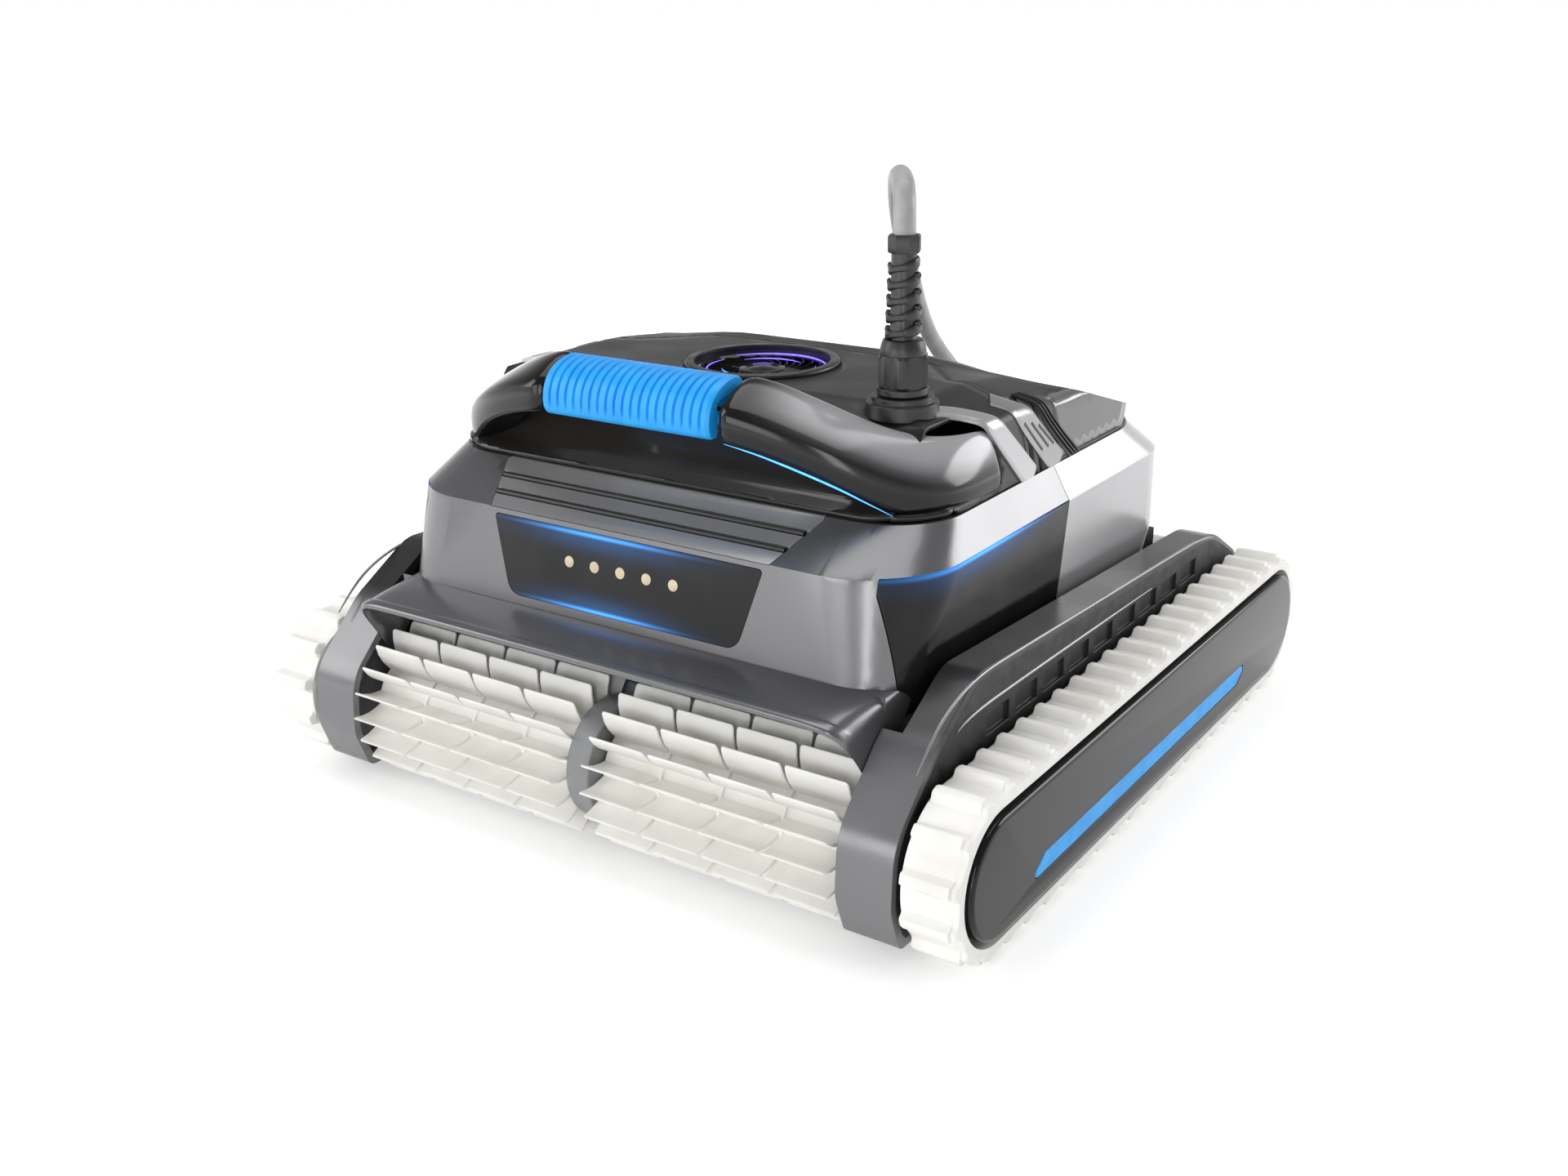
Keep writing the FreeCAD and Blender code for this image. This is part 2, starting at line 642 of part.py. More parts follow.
def hood_volume(inset):
    """Everything above the shoulder, the deck under the handle arms included."""
    low = shoulder_z + 0.6 if inset == 0 else shoulder_z - 2
    round_plan = prism_z(plan(deck_half, deck_front, deck_rear, 36, 50, inset), low, 400)
    dome = prism_x(cover_along(inset), -deck_half, deck_half)
    dome = dome.common(prism_y(cover_across(inset), -200, 200)).common(round_plan)
    r = raised_half - inset
    raised = [(-r, -200), (r, -200), (r, arm_y, 0), (170, arm_y, 0), (170, 200, 0), (-170, 200, 0),
              (-170, arm_y, 0), (-r, arm_y, 0)]
    deck = dome.common(box(-400, 400, -400, arm_y + 10, 0, deck_z - inset))
    return join(dome.common(prism_z(raised, low, 400)), deck)


arm_y = -58.0                 # rear end of the handle arms


def seam_outline(offset):
    """Joint between the front and rear covers, seen from above, with the rear side inside."""
    return [(-200, -30 + offset), (-100, -30 + offset, 12), (-72, 3 + offset, 12), (72, 3 + offset, 12),
            (100, -30 + offset, 12), (200, -30 + offset), (200, 300), (-200, 300)]


def covers():
    shell = hood_volume(0.0).cut(hood_volume(wall))
    rear_region = prism_z(seam_outline(panel_gap / 2), 100, 300)
    front_region = box(-400, 400, -400, 400, 0, 400).cut(prism_z(seam_outline(-panel_gap / 2), 100, 300))
    front = shell.common(front_region)
    front = front.cut(cyl_z(0, outlet_y, outlet_r + 3.2, 100, 300))
    front = front.cut(cyl_z(gland_x, gland_y, 12.5, 100, 300))
    back = shell.common(rear_region)
    window_rim = hood_volume(wall).cut(hood_volume(wall + 1.5)).common(window_region(2.5)).common(rear_region)
    window = join(back.common(window_region(0)), window_rim)
    back = back.cut(window_region(panel_gap / 2))
    back = back.cut(left(window_region(panel_gap / 2)))
    for s in (-1, 1):
        for y in (-22.0, -13.0):
            slit = box(-1.2, 1.2, -11, 11, 0, 400)
            slit.rotate(V(0, 0, 0), V(0, 0, 1), s * 62)
            slit.translate(V(s * 139, y, 0))
            back = back.cut(slit)
    keep("top_cover", front)
    keep("rear_cover", back)
    keep("window_right", window)
    keep("window_left", left(window))


def window_region(grow):
    return box(deck_half - 11 - grow, 200, 6 - grow, 104 + grow, shoulder_z + 2 - grow, 300)


def handle_volume():
    """Arched carry handle with swept-back arms: its plan by its arch."""
    x = deck_half
    half_plan = [(50, -157.5, 30), (96, -148, 60), (131, -129, 30), (x, -96, 25), (x, arm_y - 0.5)]
    half_inner = [(136, arm_y - 0.5), (136, -90, 14), (108, -106, 24), (76, -121, 30), (50, -129, 20)]
    ring = half_plan + half_inner
    ring += [(-p[0], *p[1:]) for p in reversed(half_inner)] + [(-p[0], *p[1:]) for p in reversed(half_plan)]
    band = prism_z(ring, shoulder_z, 300)
    half_arch = [(40, 231, 60), (82, 222, 60), (110, 210, 30), (134, 201, 20), (x, 188, 12), (x, shoulder_z + 0.6),
                 (129, shoulder_z + 0.6), (112, 184, 20), (88, 197, 30), (56, 204, 20)]
    arch = half_arch + [(-p[0], *p[1:]) for p in reversed(half_arch)]
    return band.common(prism_y(arch, -200, 0))


def handle():
    body = handle_volume().cut(hood_volume(0.0))
    zone = box(-handle_half, handle_half, -200, -100, 180, 260)
    core = [(-151, 209, 4), (-135, 209, 4), (-134, 224, 4), (-150, 221, 4)]
    bar = prism_x(core, -handle_half - 1, handle_half + 1)
    grip = handle_volume().common(zone).cut(prism_x(core, -handle_half - 2, handle_half + 2))
    keep("handle_grip", grip)
    gap_zone = box(-handle_half - panel_gap, handle_half + panel_gap, -200, -100, 180, 260)
    keep("carry_handle", join(body.cut(gap_zone), bar))


# ---- outlet and gland ----------------------------------------------------------------------
def outlet():
    duct = cyl_z(0, outlet_y, outlet_r + 3, box_z1 + 14, top_z)
    duct = duct.cut(cyl_z(0, outlet_y, outlet_r, box_z1 + 13, top_z + 1))
    legs = []
    for i in range(4):
        a = math.radians(45 + 90 * i)
        x = (outlet_r + 6) * math.cos(a)
        y = outlet_y + (outlet_r + 6) * math.sin(a)
        legs.append(cyl_z(x, y, 4.5, box_z1 + 4, box_z1 + 24))
    duct = join(duct, *legs)
    duct = duct.cut(cyl_z(0, outlet_y, outlet_r, box_z1, top_z + 1))
    guard_z = top_z - 7.0
    ledge = cyl_z(0, outlet_y, outlet_r, guard_z - 2.5, guard_z)
    duct = join(duct, ledge.cut(cyl_z(0, outlet_y, outlet_r - 2, guard_z - 3, guard_z + 1)))
    keep("outlet_duct", duct)
    ring = cyl_z(0, outlet_y, outlet_r + 4.5, top_z, top_z + 2.4)
    edge = [e for e in ring.Edges if abs(e.BoundBox.ZMin - top_z - 2.4) < 0.01]
    ring = ring.makeFillet(1.6, edge).cut(cyl_z(0, outlet_y, outlet_r - 0.5, top_z - 1, top_z + 4))
    keep("outlet_ring", ring)
    guard = cyl_z(0, outlet_y, outlet_r - seat, guard_z, guard_z + 5)
    guard = guard.cut(cyl_z(0, outlet_y, outlet_r - 3, guard_z - 1, guard_z + 6))
    hub = cyl_z(0, outlet_y, 13, guard_z, guard_z + 5)
    bars = []
    for i in range(12):
        bar = box(11, outlet_r - 1.5, -0.9, 0.9, guard_z + 0.5, guard_z + 4.5)
        bar.rotate(V(11, 0, 0), V(0, 0, 1), 24)
        bar.rotate(V(0, 0, 0), V(0, 0, 1), 30 * i)
        bar.translate(V(0, outlet_y, 0))
        bars.append(bar)
    guard = join(guard, hub, *bars).common(cyl_z(0, outlet_y, outlet_r - seat, guard_z - 1, guard_z + 9))
    keep("outlet_guard", guard)


def gland():
    base_z = top_z - 3.0
    seat_disc = cyl_z(gland_x, gland_y, 17, base_z - 2, top_z + 2.2).cut(hood_volume(0.0))
    flange = join(cyl_z(gland_x, gland_y, 12.0, base_z - 8, top_z + 2), seat_disc,
                  cyl_z(gland_x, gland_y, 14.5, top_z, top_z + 5))
    flange = flange.cut(cyl_z(gland_x, gland_y, 9.0 + running, base_z - 9, top_z + 6))
    keep("gland_flange", flange)
    neck = join(cyl_z(gland_x, gland_y, 9.0, base_z - 6, top_z + 9),
                cyl_z(gland_x, gland_y, 12.0, top_z + 5 + 0.4, top_z + 9))
    neck = neck.cut(cyl_z(gland_x, gland_y, cable_d / 2 + 0.5, base_z - 7, top_z + 5))
    keep("gland_neck", neck)
    nut_z = top_z + 9
    hexagon = [(gland_x + 13 * math.cos(math.radians(60 * i)), gland_y + 13 * math.sin(math.radians(60 * i)))
               for i in range(6)]
    nut = join(prism_z(hexagon, nut_z, nut_z + 15), Part.makeCone(10.8, 9.2, 7, V(gland_x, gland_y, nut_z + 15)))
    keep("gland_nut", nut)
    relief_z = nut_z + 22
    relief = Part.makeCone(8.6, 7.0, relief_top - 8 - relief_z, V(gland_x, gland_y, relief_z))
    cap = cyl_z(gland_x, gland_y, 7.8, relief_top - 8, relief_top)
    keep("bend_relief", join(relief, cap))


relief_top = top_z + 78.0


# ---- cable ---------------------------------------------------------------------------------
cable_r = cable_d / 2
coil_x = -130.0
coil_y = 352.0
coil_mean = 93.0
coil_rows = 4
coil_columns = 6
cable_points = [
    (gland_x, gland_y, relief_top), (gland_x, gland_y, relief_top + 11.0),
    (103, -78.5, relief_top + 20.8), (93, -64.5, relief_top + 23), (82, -47.5, relief_top + 19.5),
    (66, -21, relief_top + 9.5), (45, 17, relief_top - 9), (21, 66, relief_top - 37.5),
    (0, 113, relief_top - 66.5), (-12.5, 146, relief_top - 90), (-17.5, 170, 183), (-14, 188, 165),
    (-8, 203, 143), (-2, 216, 114), (3, 228, 82), (6, 242, 52), (8, 258, 24), (6, 281, cable_r + 0.3),
    (1, 308, cable_r + 0.3), (-12, 332, cable_r + 0.3), (-30, 348, cable_r + 0.3)]


def tube(points, radius, label):
    """Round tube along straight runs joined by tangent arcs."""
    pts = [V(*p) for p in points]
    edges = []
    start = pts[0]
    length = 0.0
    radii = []
    for i in range(1, len(pts) - 1):
        a, p, c = pts[i - 1], pts[i], pts[i + 1]
        u = (a - p).normalize()
        w = (c - p).normalize()
        turn = math.pi - u.getAngle(w)
        reach = 0.45 * min((a - p).Length, (c - p).Length)
        bend = reach / math.tan(turn / 2)
        half = (math.pi - turn) / 2
        middle = p + (u + w).normalize() * (bend / math.sin(half) - bend)
        edges.append(Part.LineSegment(start, p + u * reach).toShape())
        edges.append(Part.Arc(p + u * reach, middle, p + w * reach).toShape())
        start = p + w * reach
        radii.append(round(bend, 1))
    edges.append(Part.LineSegment(start, pts[-1]).toShape())
    wire = Part.Wire(edges)
    first = (pts[1] - pts[0]).normalize()
    ring = Part.Wire([Part.Circle(pts[0], first, radius).toShape()])
    solid = wire.makePipeShell([ring], True, True)
    length = wire.Length
    print(label, "radii", radii, "length", round(length, 1),
          "volume ratio", round(solid.Volume / (math.pi * radius ** 2 * length), 4))
    return solid


def cable():
    keep("cable_run", tube(cable_points, cable_r, "cable_run"))
    half = coil_columns * cable_d / 2
    high = coil_rows * cable_d
    ring = cyl_z(coil_x, coil_y, coil_mean + half, 0.3, high)
    ring = ring.cut(cyl_z(coil_x, coil_y, coil_mean - half, 0, high + 1))
    ring = ring.makeChamfer(2.5, [e for e in ring.Edges if abs(e.BoundBox.ZLength) < 0.01])
    keep("cable_coil", ring)
    tie = box(-4, 4, coil_mean - half - 1.6, coil_mean + half + 1.6, 0.1, high + 1.6)
    tie.rotate(V(0, 0, 0), V(0, 0, 1), 120)
    tie.translate(V(coil_x, coil_y, 0))
    keep("coil_tie", tie.cut(ring))
    plug = join(cyl_y(0, 12.0, 11.5, 0, 22), cyl_y(0, 12.0, 9.5, 22, 44), cyl_y(0, 12.0, 7.2, 44, 58))
    plug = join(plug, cyl_y(0, 12.0, cable_r, 58, 66))
    plug.translate(V(coil_x, coil_y + coil_mean - half - 62, 0))
    keep("cable_plug", plug.cut(ring))


# ---- small parts ---------------------------------------------------------------------------
def small_parts():
    board = box(-50, 50, -2, 0, -9, 9)
    leds = [cyl_y(16.0 * i, 0, 2.6, -4.5, -2) for i in range(-2, 3)]
    board = join(board, *leds)
    board.rotate(V(0, 0, 0), V(1, 0, 0), -11)
    board.translate(V(0, body_front + 14, 134.5))
    hollow = body_hollow(wall + 1.5)
    posts = [cyl_y(x, 134.5, 3, -190, body_front + 13.6).common(hollow) for x in (-46, 46)]
    keep("led_board", join(board, *posts))
    y0 = box_y0 + wall
    control = box(-58, 58, y0 + 2, y0 + 4, 84, 142)
    posts = [cyl_y(x, z, 3, y0, y0 + 2) for x in (-52, 52) for z in (90, 136)]
    keep("control_board", join(control, *posts))
    screw = join(cyl_z(0, 0, screw_r, rim_z - 10, tab_z), cyl_z(0, 0, 3.6, tab_z, tab_z + 2.6))
    keep("shell_screws", Part.makeCompound([screw.translated(V(x, y, 0)) for x, y in fixings]))
    bush = join(cyl_x(0, 0, bush_r, frame_in, frame_out), cyl_x(0, 0, bush_r + 2.5, frame_in - 1.5, frame_in))
    bush = bush.cut(cyl_x(0, 0, shaft_r + running, 0, half_width))
    bushes = []
    for y, z in ((-wheel_y, wheel_z), (wheel_y, wheel_z), (outlet_y, sprocket_z)):
        b = bush.copy()
        b.translate(V(0, y, z))
        bushes += [b, left(b)]
    keep("shaft_bushes", Part.makeCompound(bushes))


def build():
    belt = belt_shape()
    keep("belt_right", belt)
    keep("belt_left", left(belt))
    for name, shape in (("outer_plate", outer_plate_shape()), ("side_frame", side_frame_shape()),
                        ("fender", fender_shape()), ("drive_sprocket", sprocket_shape()),
                        ("accent_strip", prism_x(strip_outline(0.3), half_width - 2.0, half_width)),
                        ("inlet_flap", flap_shape())):
        keep(name + "_right", shape)
        keep(name + "_left", left(shape))
    for name, shape in (("brush", brush_shape()), ("wheel", wheel_shape())):
        keep(name + "_front_right", shape)
        keep(name + "_front_left", left(shape))
        keep(name + "_rear_right", rear(shape))
        keep(name + "_rear_left", left(rear(shape)))
    collar = collar_shape()
    keep("brush_collar_front", collar)
    keep("brush_collar_rear", rear(collar))
    keep("chassis_tray", chassis_shape())
    keep("filter_door", door_shape())
    keep("filter_basket", basket_shape())
    keep("motor_box", motor_box_shape())
    keep("motor_box_lid", motor_lid_shape())
    keep("pump_motor", pump_motor_shape())
    keep("drive_motors", drive_motors_shape())
    keep("propeller", propeller_shape())
    shells()
    covers()
    handle()
    outlet()
    gland()
    cable()
    small_parts()


build()
for name, shape in shapes.items():
    shape.exportStep("parts/" + name + ".step")
print(len(shapes), "parts")
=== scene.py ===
# Pool cleaner on a pale studio floor. Metres, Z up, front towards -Y.
import json
import math
import bpy
import bmesh
from mathutils import Matrix, Vector
from mathutils.bvhtree import BVHTree

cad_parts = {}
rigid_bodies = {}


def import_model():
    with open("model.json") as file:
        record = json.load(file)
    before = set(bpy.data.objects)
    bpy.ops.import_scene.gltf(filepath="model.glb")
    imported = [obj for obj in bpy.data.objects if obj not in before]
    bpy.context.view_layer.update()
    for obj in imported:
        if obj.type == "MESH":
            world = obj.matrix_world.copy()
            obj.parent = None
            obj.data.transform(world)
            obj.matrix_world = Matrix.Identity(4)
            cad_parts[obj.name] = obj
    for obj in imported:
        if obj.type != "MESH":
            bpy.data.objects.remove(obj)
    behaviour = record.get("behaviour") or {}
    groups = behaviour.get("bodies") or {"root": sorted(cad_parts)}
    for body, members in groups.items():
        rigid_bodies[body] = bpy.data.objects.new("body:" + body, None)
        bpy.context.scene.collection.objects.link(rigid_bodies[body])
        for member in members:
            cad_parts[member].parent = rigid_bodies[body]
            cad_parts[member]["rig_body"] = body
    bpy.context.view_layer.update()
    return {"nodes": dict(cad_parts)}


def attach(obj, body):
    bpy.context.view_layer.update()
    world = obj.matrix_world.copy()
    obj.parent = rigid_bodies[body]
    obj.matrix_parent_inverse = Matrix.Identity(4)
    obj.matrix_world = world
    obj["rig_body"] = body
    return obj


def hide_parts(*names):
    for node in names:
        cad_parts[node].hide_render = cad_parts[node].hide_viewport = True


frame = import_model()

mm = 0.001
nodes = frame["nodes"]
scene = bpy.context.scene
scene.view_settings.view_transform = "Standard"

# metres, degrees and a lens in mm; the azimuth turns from the front, -Y, to the right
camera = {"place": (0.47602, -0.71814, 0.39197), "azimuth": 34.60, "elevation": 20.14,
          "roll": -0.80, "lens": 37.02}


def placeCamera(spec):
    az, el, roll = (math.radians(spec[key]) for key in ("azimuth", "elevation", "roll"))
    back = Vector((math.sin(az) * math.cos(el), -math.cos(az) * math.cos(el), math.sin(el)))
    right = Vector((0, 0, 1)).cross(back).normalized()
    up = back.cross(right)
    across = right * math.cos(roll) + up * math.sin(roll)
    above = up * math.cos(roll) - right * math.sin(roll)
    data = bpy.data.cameras.new("camera")
    data.lens = spec["lens"]
    data.sensor_width = 36
    data.clip_start = 0.01
    shot = bpy.data.objects.new("camera", data)
    turn = Matrix((across, above, back)).transposed().to_4x4()
    shot.matrix_world = Matrix.Translation(spec["place"]) @ turn
    scene.collection.objects.link(shot)
    scene.camera = shot


placeCamera(camera)


def linear(code):
    # an sRGB hex colour as linear values
    parts = [int(code[i:i + 2], 16) / 255 for i in (1, 3, 5)]
    return tuple(c / 12.92 if c <= 0.04045 else ((c + 0.055) / 1.055) ** 2.4 for c in parts) + (1,)


def node(tree, kind, settings=None, sockets=None):
    made = tree.nodes.new(kind)
    for key, value in (settings or {}).items():
        setattr(made, key, value)
    for key, value in (sockets or {}).items():
        if isinstance(value, bpy.types.NodeSocket):
            tree.links.new(value, made.inputs[key])
        else:
            made.inputs[key].default_value = value
    return made


def addObject(name, data, body, material=None, replaces=()):
    made = bpy.data.objects.new(name, data)
    scene.collection.objects.link(made)
    if material:
        data.materials.clear()
        data.materials.append(material)
    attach(made, body)
    if replaces:
        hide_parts(*replaces)
    return made


def smooth(mesh, angle=35):
    mesh.shade_smooth()
    mesh.set_sharp_from_angle(angle=math.radians(angle))


def meshFrom(name, verts, faces, angle=35):
    mesh = bpy.data.meshes.new(name)
    mesh.from_pydata([tuple(v) for v in verts], [], faces)
    work = bmesh.new()
    work.from_mesh(mesh)
    bmesh.ops.recalc_face_normals(work, faces=work.faces)
    work.to_mesh(mesh)
    work.free()
    smooth(mesh, angle)
    return mesh


def lofted(rings, capped=True):
    # faces between rings of points that have the same count
    count = len(rings[0])
    verts = [p for ring in rings for p in ring]
    faces = []
    for i in range(len(rings) - 1):
        for j in range(count):
            k = (j + 1) % count
            faces.append((i * count + j, i * count + k, (i + 1) * count + k, (i + 1) * count + j))
    if capped:
        faces.append(tuple(range(count)))
        faces.append(tuple((len(rings) - 1) * count + j for j in range(count)))
    return verts, faces


def newMaterial(name):
    made = bpy.data.materials.new(name)
    made.use_nodes = True
    tree = made.node_tree
    tree.nodes.clear()
    place = node(tree, "ShaderNodeTexCoord").outputs["Object"]
    return made, tree, place


def finish(tree, shader):
    node(tree, "ShaderNodeOutputMaterial", sockets={"Surface": shader.outputs[0]})


def mottled(tree, place, dark, light, sizeMm):
    # two close shades mixed by noise, sizeMm across a patch
    noise = node(tree, "ShaderNodeTexNoise",
                 sockets={"Vector": place, "Scale": 1000 / sizeMm, "Detail": 1, "Roughness": 0.6})
    ramp = node(tree, "ShaderNodeValToRGB", sockets={"Fac": noise.outputs["Fac"]})
    ramp.color_ramp.elements[0].position = 0.3
    ramp.color_ramp.elements[1].position = 0.7
    ramp.color_ramp.elements[0].color = linear(dark)
    ramp.color_ramp.elements[1].color = linear(light)
    return ramp.outputs["Color"]


def spread(tree, place, low, high, sizeMm):
    # a roughness that wanders between low and high, as handled or moulded surfaces do
    noise = node(tree, "ShaderNodeTexNoise",
                 sockets={"Vector": place, "Scale": 1000 / sizeMm, "Detail": 1, "Roughness": 0.4})
    return node(tree, "ShaderNodeMapRange",
                sockets={"Value": noise.outputs["Fac"], "From Min": 0.3, "From Max": 0.7,
                         "To Min": low, "To Max": high}).outputs["Result"]


def grain(tree, place, sizeMm, depthMm, strength=0.4):
    # fine relief, sizeMm from crest to crest
    noise = node(tree, "ShaderNodeTexNoise", sockets={"Vector": place, "Scale": 1000 / sizeMm, "Detail": 0})
    return node(tree, "ShaderNodeBump",
                sockets={"Height": noise.outputs["Fac"], "Distance": depthMm * mm,
                         "Strength": strength}).outputs["Normal"]


def mouldedPlastic(name, look):
    made, tree, place = newMaterial(name)
    patch, relief = look["patchMm"], look.get("grainStrength", 0.4)
    shader = node(tree, "ShaderNodeBsdfPrincipled",
                  sockets={"Base Color": mottled(tree, place, look["dark"], look["light"], patch),
                           "Roughness": spread(tree, place, *look["roughness"], patch * 0.6),
                           "Normal": grain(tree, place, look["grainMm"], look["grainDepthMm"], relief),
                           "IOR": look.get("ior", 1.5), "Metallic": look.get("metallic", 0.0),
                           "Coat Weight": look.get("coat", 0.0),
                           "Coat Roughness": look.get("coatRoughness", 0.05),
                           "Subsurface Weight": look.get("soft", 0.0)})
    if look.get("soft"):
        shader.inputs["Subsurface Radius"].default_value = (0.004, 0.003, 0.002)
        shader.inputs["Subsurface Scale"].default_value = 1.0
    finish(tree, shader)
    return made


# the surface that sprayed lacquer leaves: a soft, shallow flow rather than a grain
sprayed = {"grainMm": 7, "grainDepthMm": 0.006, "grainStrength": 0.1, "coatRoughness": 0.12}

# plastics by what they are and how they were made; sizes in mm
plastics = {
    # metallic grey lacquer sprayed over moulded ABS: soft wide highlights
    "lacqueredAbsGunmetal": {**sprayed, "dark": "#717173", "light": "#757577", "patchMm": 60,
                             "roughness": (0.25, 0.28), "metallic": 0.6, "coat": 0.15},
    # the same lacquer a shade lighter, on the slats, the fender trims and one cover inset
    "lacqueredAbsSilver": {**sprayed, "dark": "#949495", "light": "#989899", "patchMm": 55,
                           "roughness": (0.26, 0.29), "metallic": 0.45, "coat": 0.2},
    # light grey lacquer on the rear shell and the strap
    "lacqueredAbsLight": {**sprayed, "dark": "#B4B4B6", "light": "#B9B9BB", "patchMm": 60,
                          "roughness": (0.24, 0.27), "metallic": 0.4, "coat": 0.25},
    # satin moulded ABS, warm black, with a fine spark-eroded grain
    "satinAbsBlack": {"dark": "#2D2B29", "light": "#33312F", "patchMm": 40, "ior": 1.4,
                      "roughness": (0.36, 0.46), "grainMm": 0.9, "grainDepthMm": 0.03,
                      "grainStrength": 0.25},
    # piano-black ABS from a polished tool: mirror gloss with faint wipe marks
    "polishedAbsBlack": {"dark": "#131314", "light": "#171718", "patchMm": 25, "ior": 1.36,
                         "roughness": (0.08, 0.12), "grainMm": 14, "grainDepthMm": 0.03,
                         "grainStrength": 0.1},
    # grey tinted acrylic, gloss
    "tintedAcrylicGrey": {"dark": "#626264", "light": "#6A6A6C", "patchMm": 60, "roughness": (0.10, 0.16),
                          "grainMm": 18, "grainDepthMm": 0.02, "grainStrength": 0.1, "coat": 0.4,
                          "coatRoughness": 0.05},
    # dark trim, satin ABS
    "satinAbsCharcoal": {"dark": "#1C1C1D", "light": "#242425", "patchMm": 14, "roughness": (0.30, 0.42),
                         "grainMm": 0.8, "grainDepthMm": 0.05},
    # chassis and track frames: glass-filled polypropylene, dull
    "mouldedPolypropyleneBlack": {"dark": "#1C1C1D", "light": "#262627", "patchMm": 12,
                                  "roughness": (0.45, 0.6), "grainMm": 1.1, "grainDepthMm": 0.08},
    # blue thermoplastic rubber, dull gloss, slightly translucent skin
    "overmouldedRubberBlue": {"dark": "#159DEE", "light": "#20AAF8", "patchMm": 10, "roughness": (0.38, 0.5),
                              "grainMm": 0.6, "grainDepthMm": 0.04, "ior": 1.48},
    # cream thermoplastic rubber of the fins and belts, lets a little light through
    "mouldedRubberCream": {"dark": "#EEECE6", "light": "#F6F5F1", "patchMm": 22, "roughness": (0.42, 0.54),
                           "grainMm": 0.8, "grainDepthMm": 0.05, "ior": 1.46, "soft": 0.1},
    # grey acetal wheels, collars and sprockets
    "mouldedAcetalGrey": {"dark": "#7E7F81", "light": "#8B8C8E", "patchMm": 12, "roughness": (0.34, 0.46),
                          "grainMm": 0.9, "grainDepthMm": 0.04},
    # soft PVC sheath of the cable, a dull grey
    "extrudedPvcGrey": {"dark": "#9C9C9B", "light": "#ABABAA", "patchMm": 8, "roughness": (0.38, 0.5),
                        "grainMm": 0.7, "grainDepthMm": 0.03, "ior": 1.52},
    # black soft PVC of the bend relief, the tie and the connector
    "mouldedPvcBlack": {"dark": "#1D1D1E", "light": "#2A2A2B", "patchMm": 7, "roughness": (0.32, 0.46),
                        "grainMm": 0.6, "grainDepthMm": 0.05, "ior": 1.52},
    # dry-running bearing plastic, off-white
    "mouldedNylonNatural": {"dark": "#C9C3B2", "light": "#D6D1C2", "patchMm": 6, "roughness": (0.4, 0.5),
                            "grainMm": 0.6, "grainDepthMm": 0.03},
    # woven glass board under green solder mask
    "solderMaskGreen": {"dark": "#123B24", "light": "#1B5233", "patchMm": 3, "roughness": (0.25, 0.4),
                        "grainMm": 1.0, "grainDepthMm": 0.04},
}
finishes = {name: mouldedPlastic(name, look) for name, look in plastics.items()}


def metal(name, dark, light, roughness, grainMm):
    made, tree, place = newMaterial(name)
    stretch = node(tree, "ShaderNodeMapping", sockets={"Vector": place, "Scale": (1, 1, 0.06)})
    finish(tree, node(tree, "ShaderNodeBsdfPrincipled",
                      sockets={"Base Color": mottled(tree, place, dark, light, 6), "Metallic": 1.0,
                               "Roughness": spread(tree, stretch.outputs["Vector"], *roughness, grainMm),
                               "Normal": grain(tree, stretch.outputs["Vector"], grainMm, 0.02, 0.3)}))
    return made


# turned stainless steel: drawn grain about 0.8 mm so that it shows
finishes["turnedStainless"] = metal("turnedStainless", "#A9A9A7", "#BDBDBB", (0.22, 0.34), 0.8)
# galvanised motor cans: duller and bluer
finishes["galvanisedSteel"] = metal("galvanisedSteel", "#83868A", "#96999D", (0.34, 0.5), 1.4)


def glowSource(tree, place, lines):
    # blue light along edges: each line is a height it follows, a half width, a middle and a reach
    parts = node(tree, "ShaderNodeSeparateXYZ", sockets={"Vector": place})
    total = None
    for line in lines:
        rise = node(tree, "ShaderNodeMath", {"operation": "MULTIPLY_ADD"},
                    {0: parts.outputs[line["along"]], 1: -line.get("slope", 0.0), 2: parts.outputs["Z"]})
        away = node(tree, "ShaderNodeMath", {"operation": "SUBTRACT"},
                    {0: rise.outputs[0], 1: line["height"] * mm})
        aside = node(tree, "ShaderNodeMath", {"operation": "SUBTRACT"},
                     {0: parts.outputs[line["along"]], 1: line["middle"] * mm})
        level = None
        for off, reach in ((away, line["halfWidth"]), (aside, line["reach"])):
            scaled = node(tree, "ShaderNodeMath", {"operation": "DIVIDE"}, {0: off.outputs[0], 1: reach * mm})
            square = node(tree, "ShaderNodeMath", {"operation": "MULTIPLY"},
                          {0: scaled.outputs[0], 1: scaled.outputs[0]})
            fall = node(tree, "ShaderNodeMath", {"operation": "MULTIPLY"}, {0: square.outputs[0], 1: -1.0})
            curve = node(tree, "ShaderNodeMath", {"operation": "EXPONENT"}, {0: fall.outputs[0]})
            level = curve if level is None else node(tree, "ShaderNodeMath", {"operation": "MULTIPLY"},
                                                     {0: level.outputs[0], 1: curve.outputs[0]})
        level = node(tree, "ShaderNodeMath", {"operation": "MULTIPLY"},
                     {0: level.outputs[0], 1: line["strength"]})
        total = level if total is None else node(tree, "ShaderNodeMath", {"operation": "ADD"},
                                                 {0: total.outputs[0], 1: level.outputs[0]})
    return total.outputs[0]


def litPanel(name, dark, light, roughness, lines, glowColour):
    # polished black plastic with a light guide moulded behind its edge
    made, tree, place = newMaterial(name)
    finish(tree, node(tree, "ShaderNodeBsdfPrincipled",
                      sockets={"Base Color": mottled(tree, place, dark, light, 30),
                               "Roughness": spread(tree, place, *roughness, 20),
                               "Normal": grain(tree, place, 16, 0.02, 0.1),
                               "IOR": 1.3, "Emission Color": linear(glowColour),
                               "Emission Strength": glowSource(tree, place, lines)}))
    return made


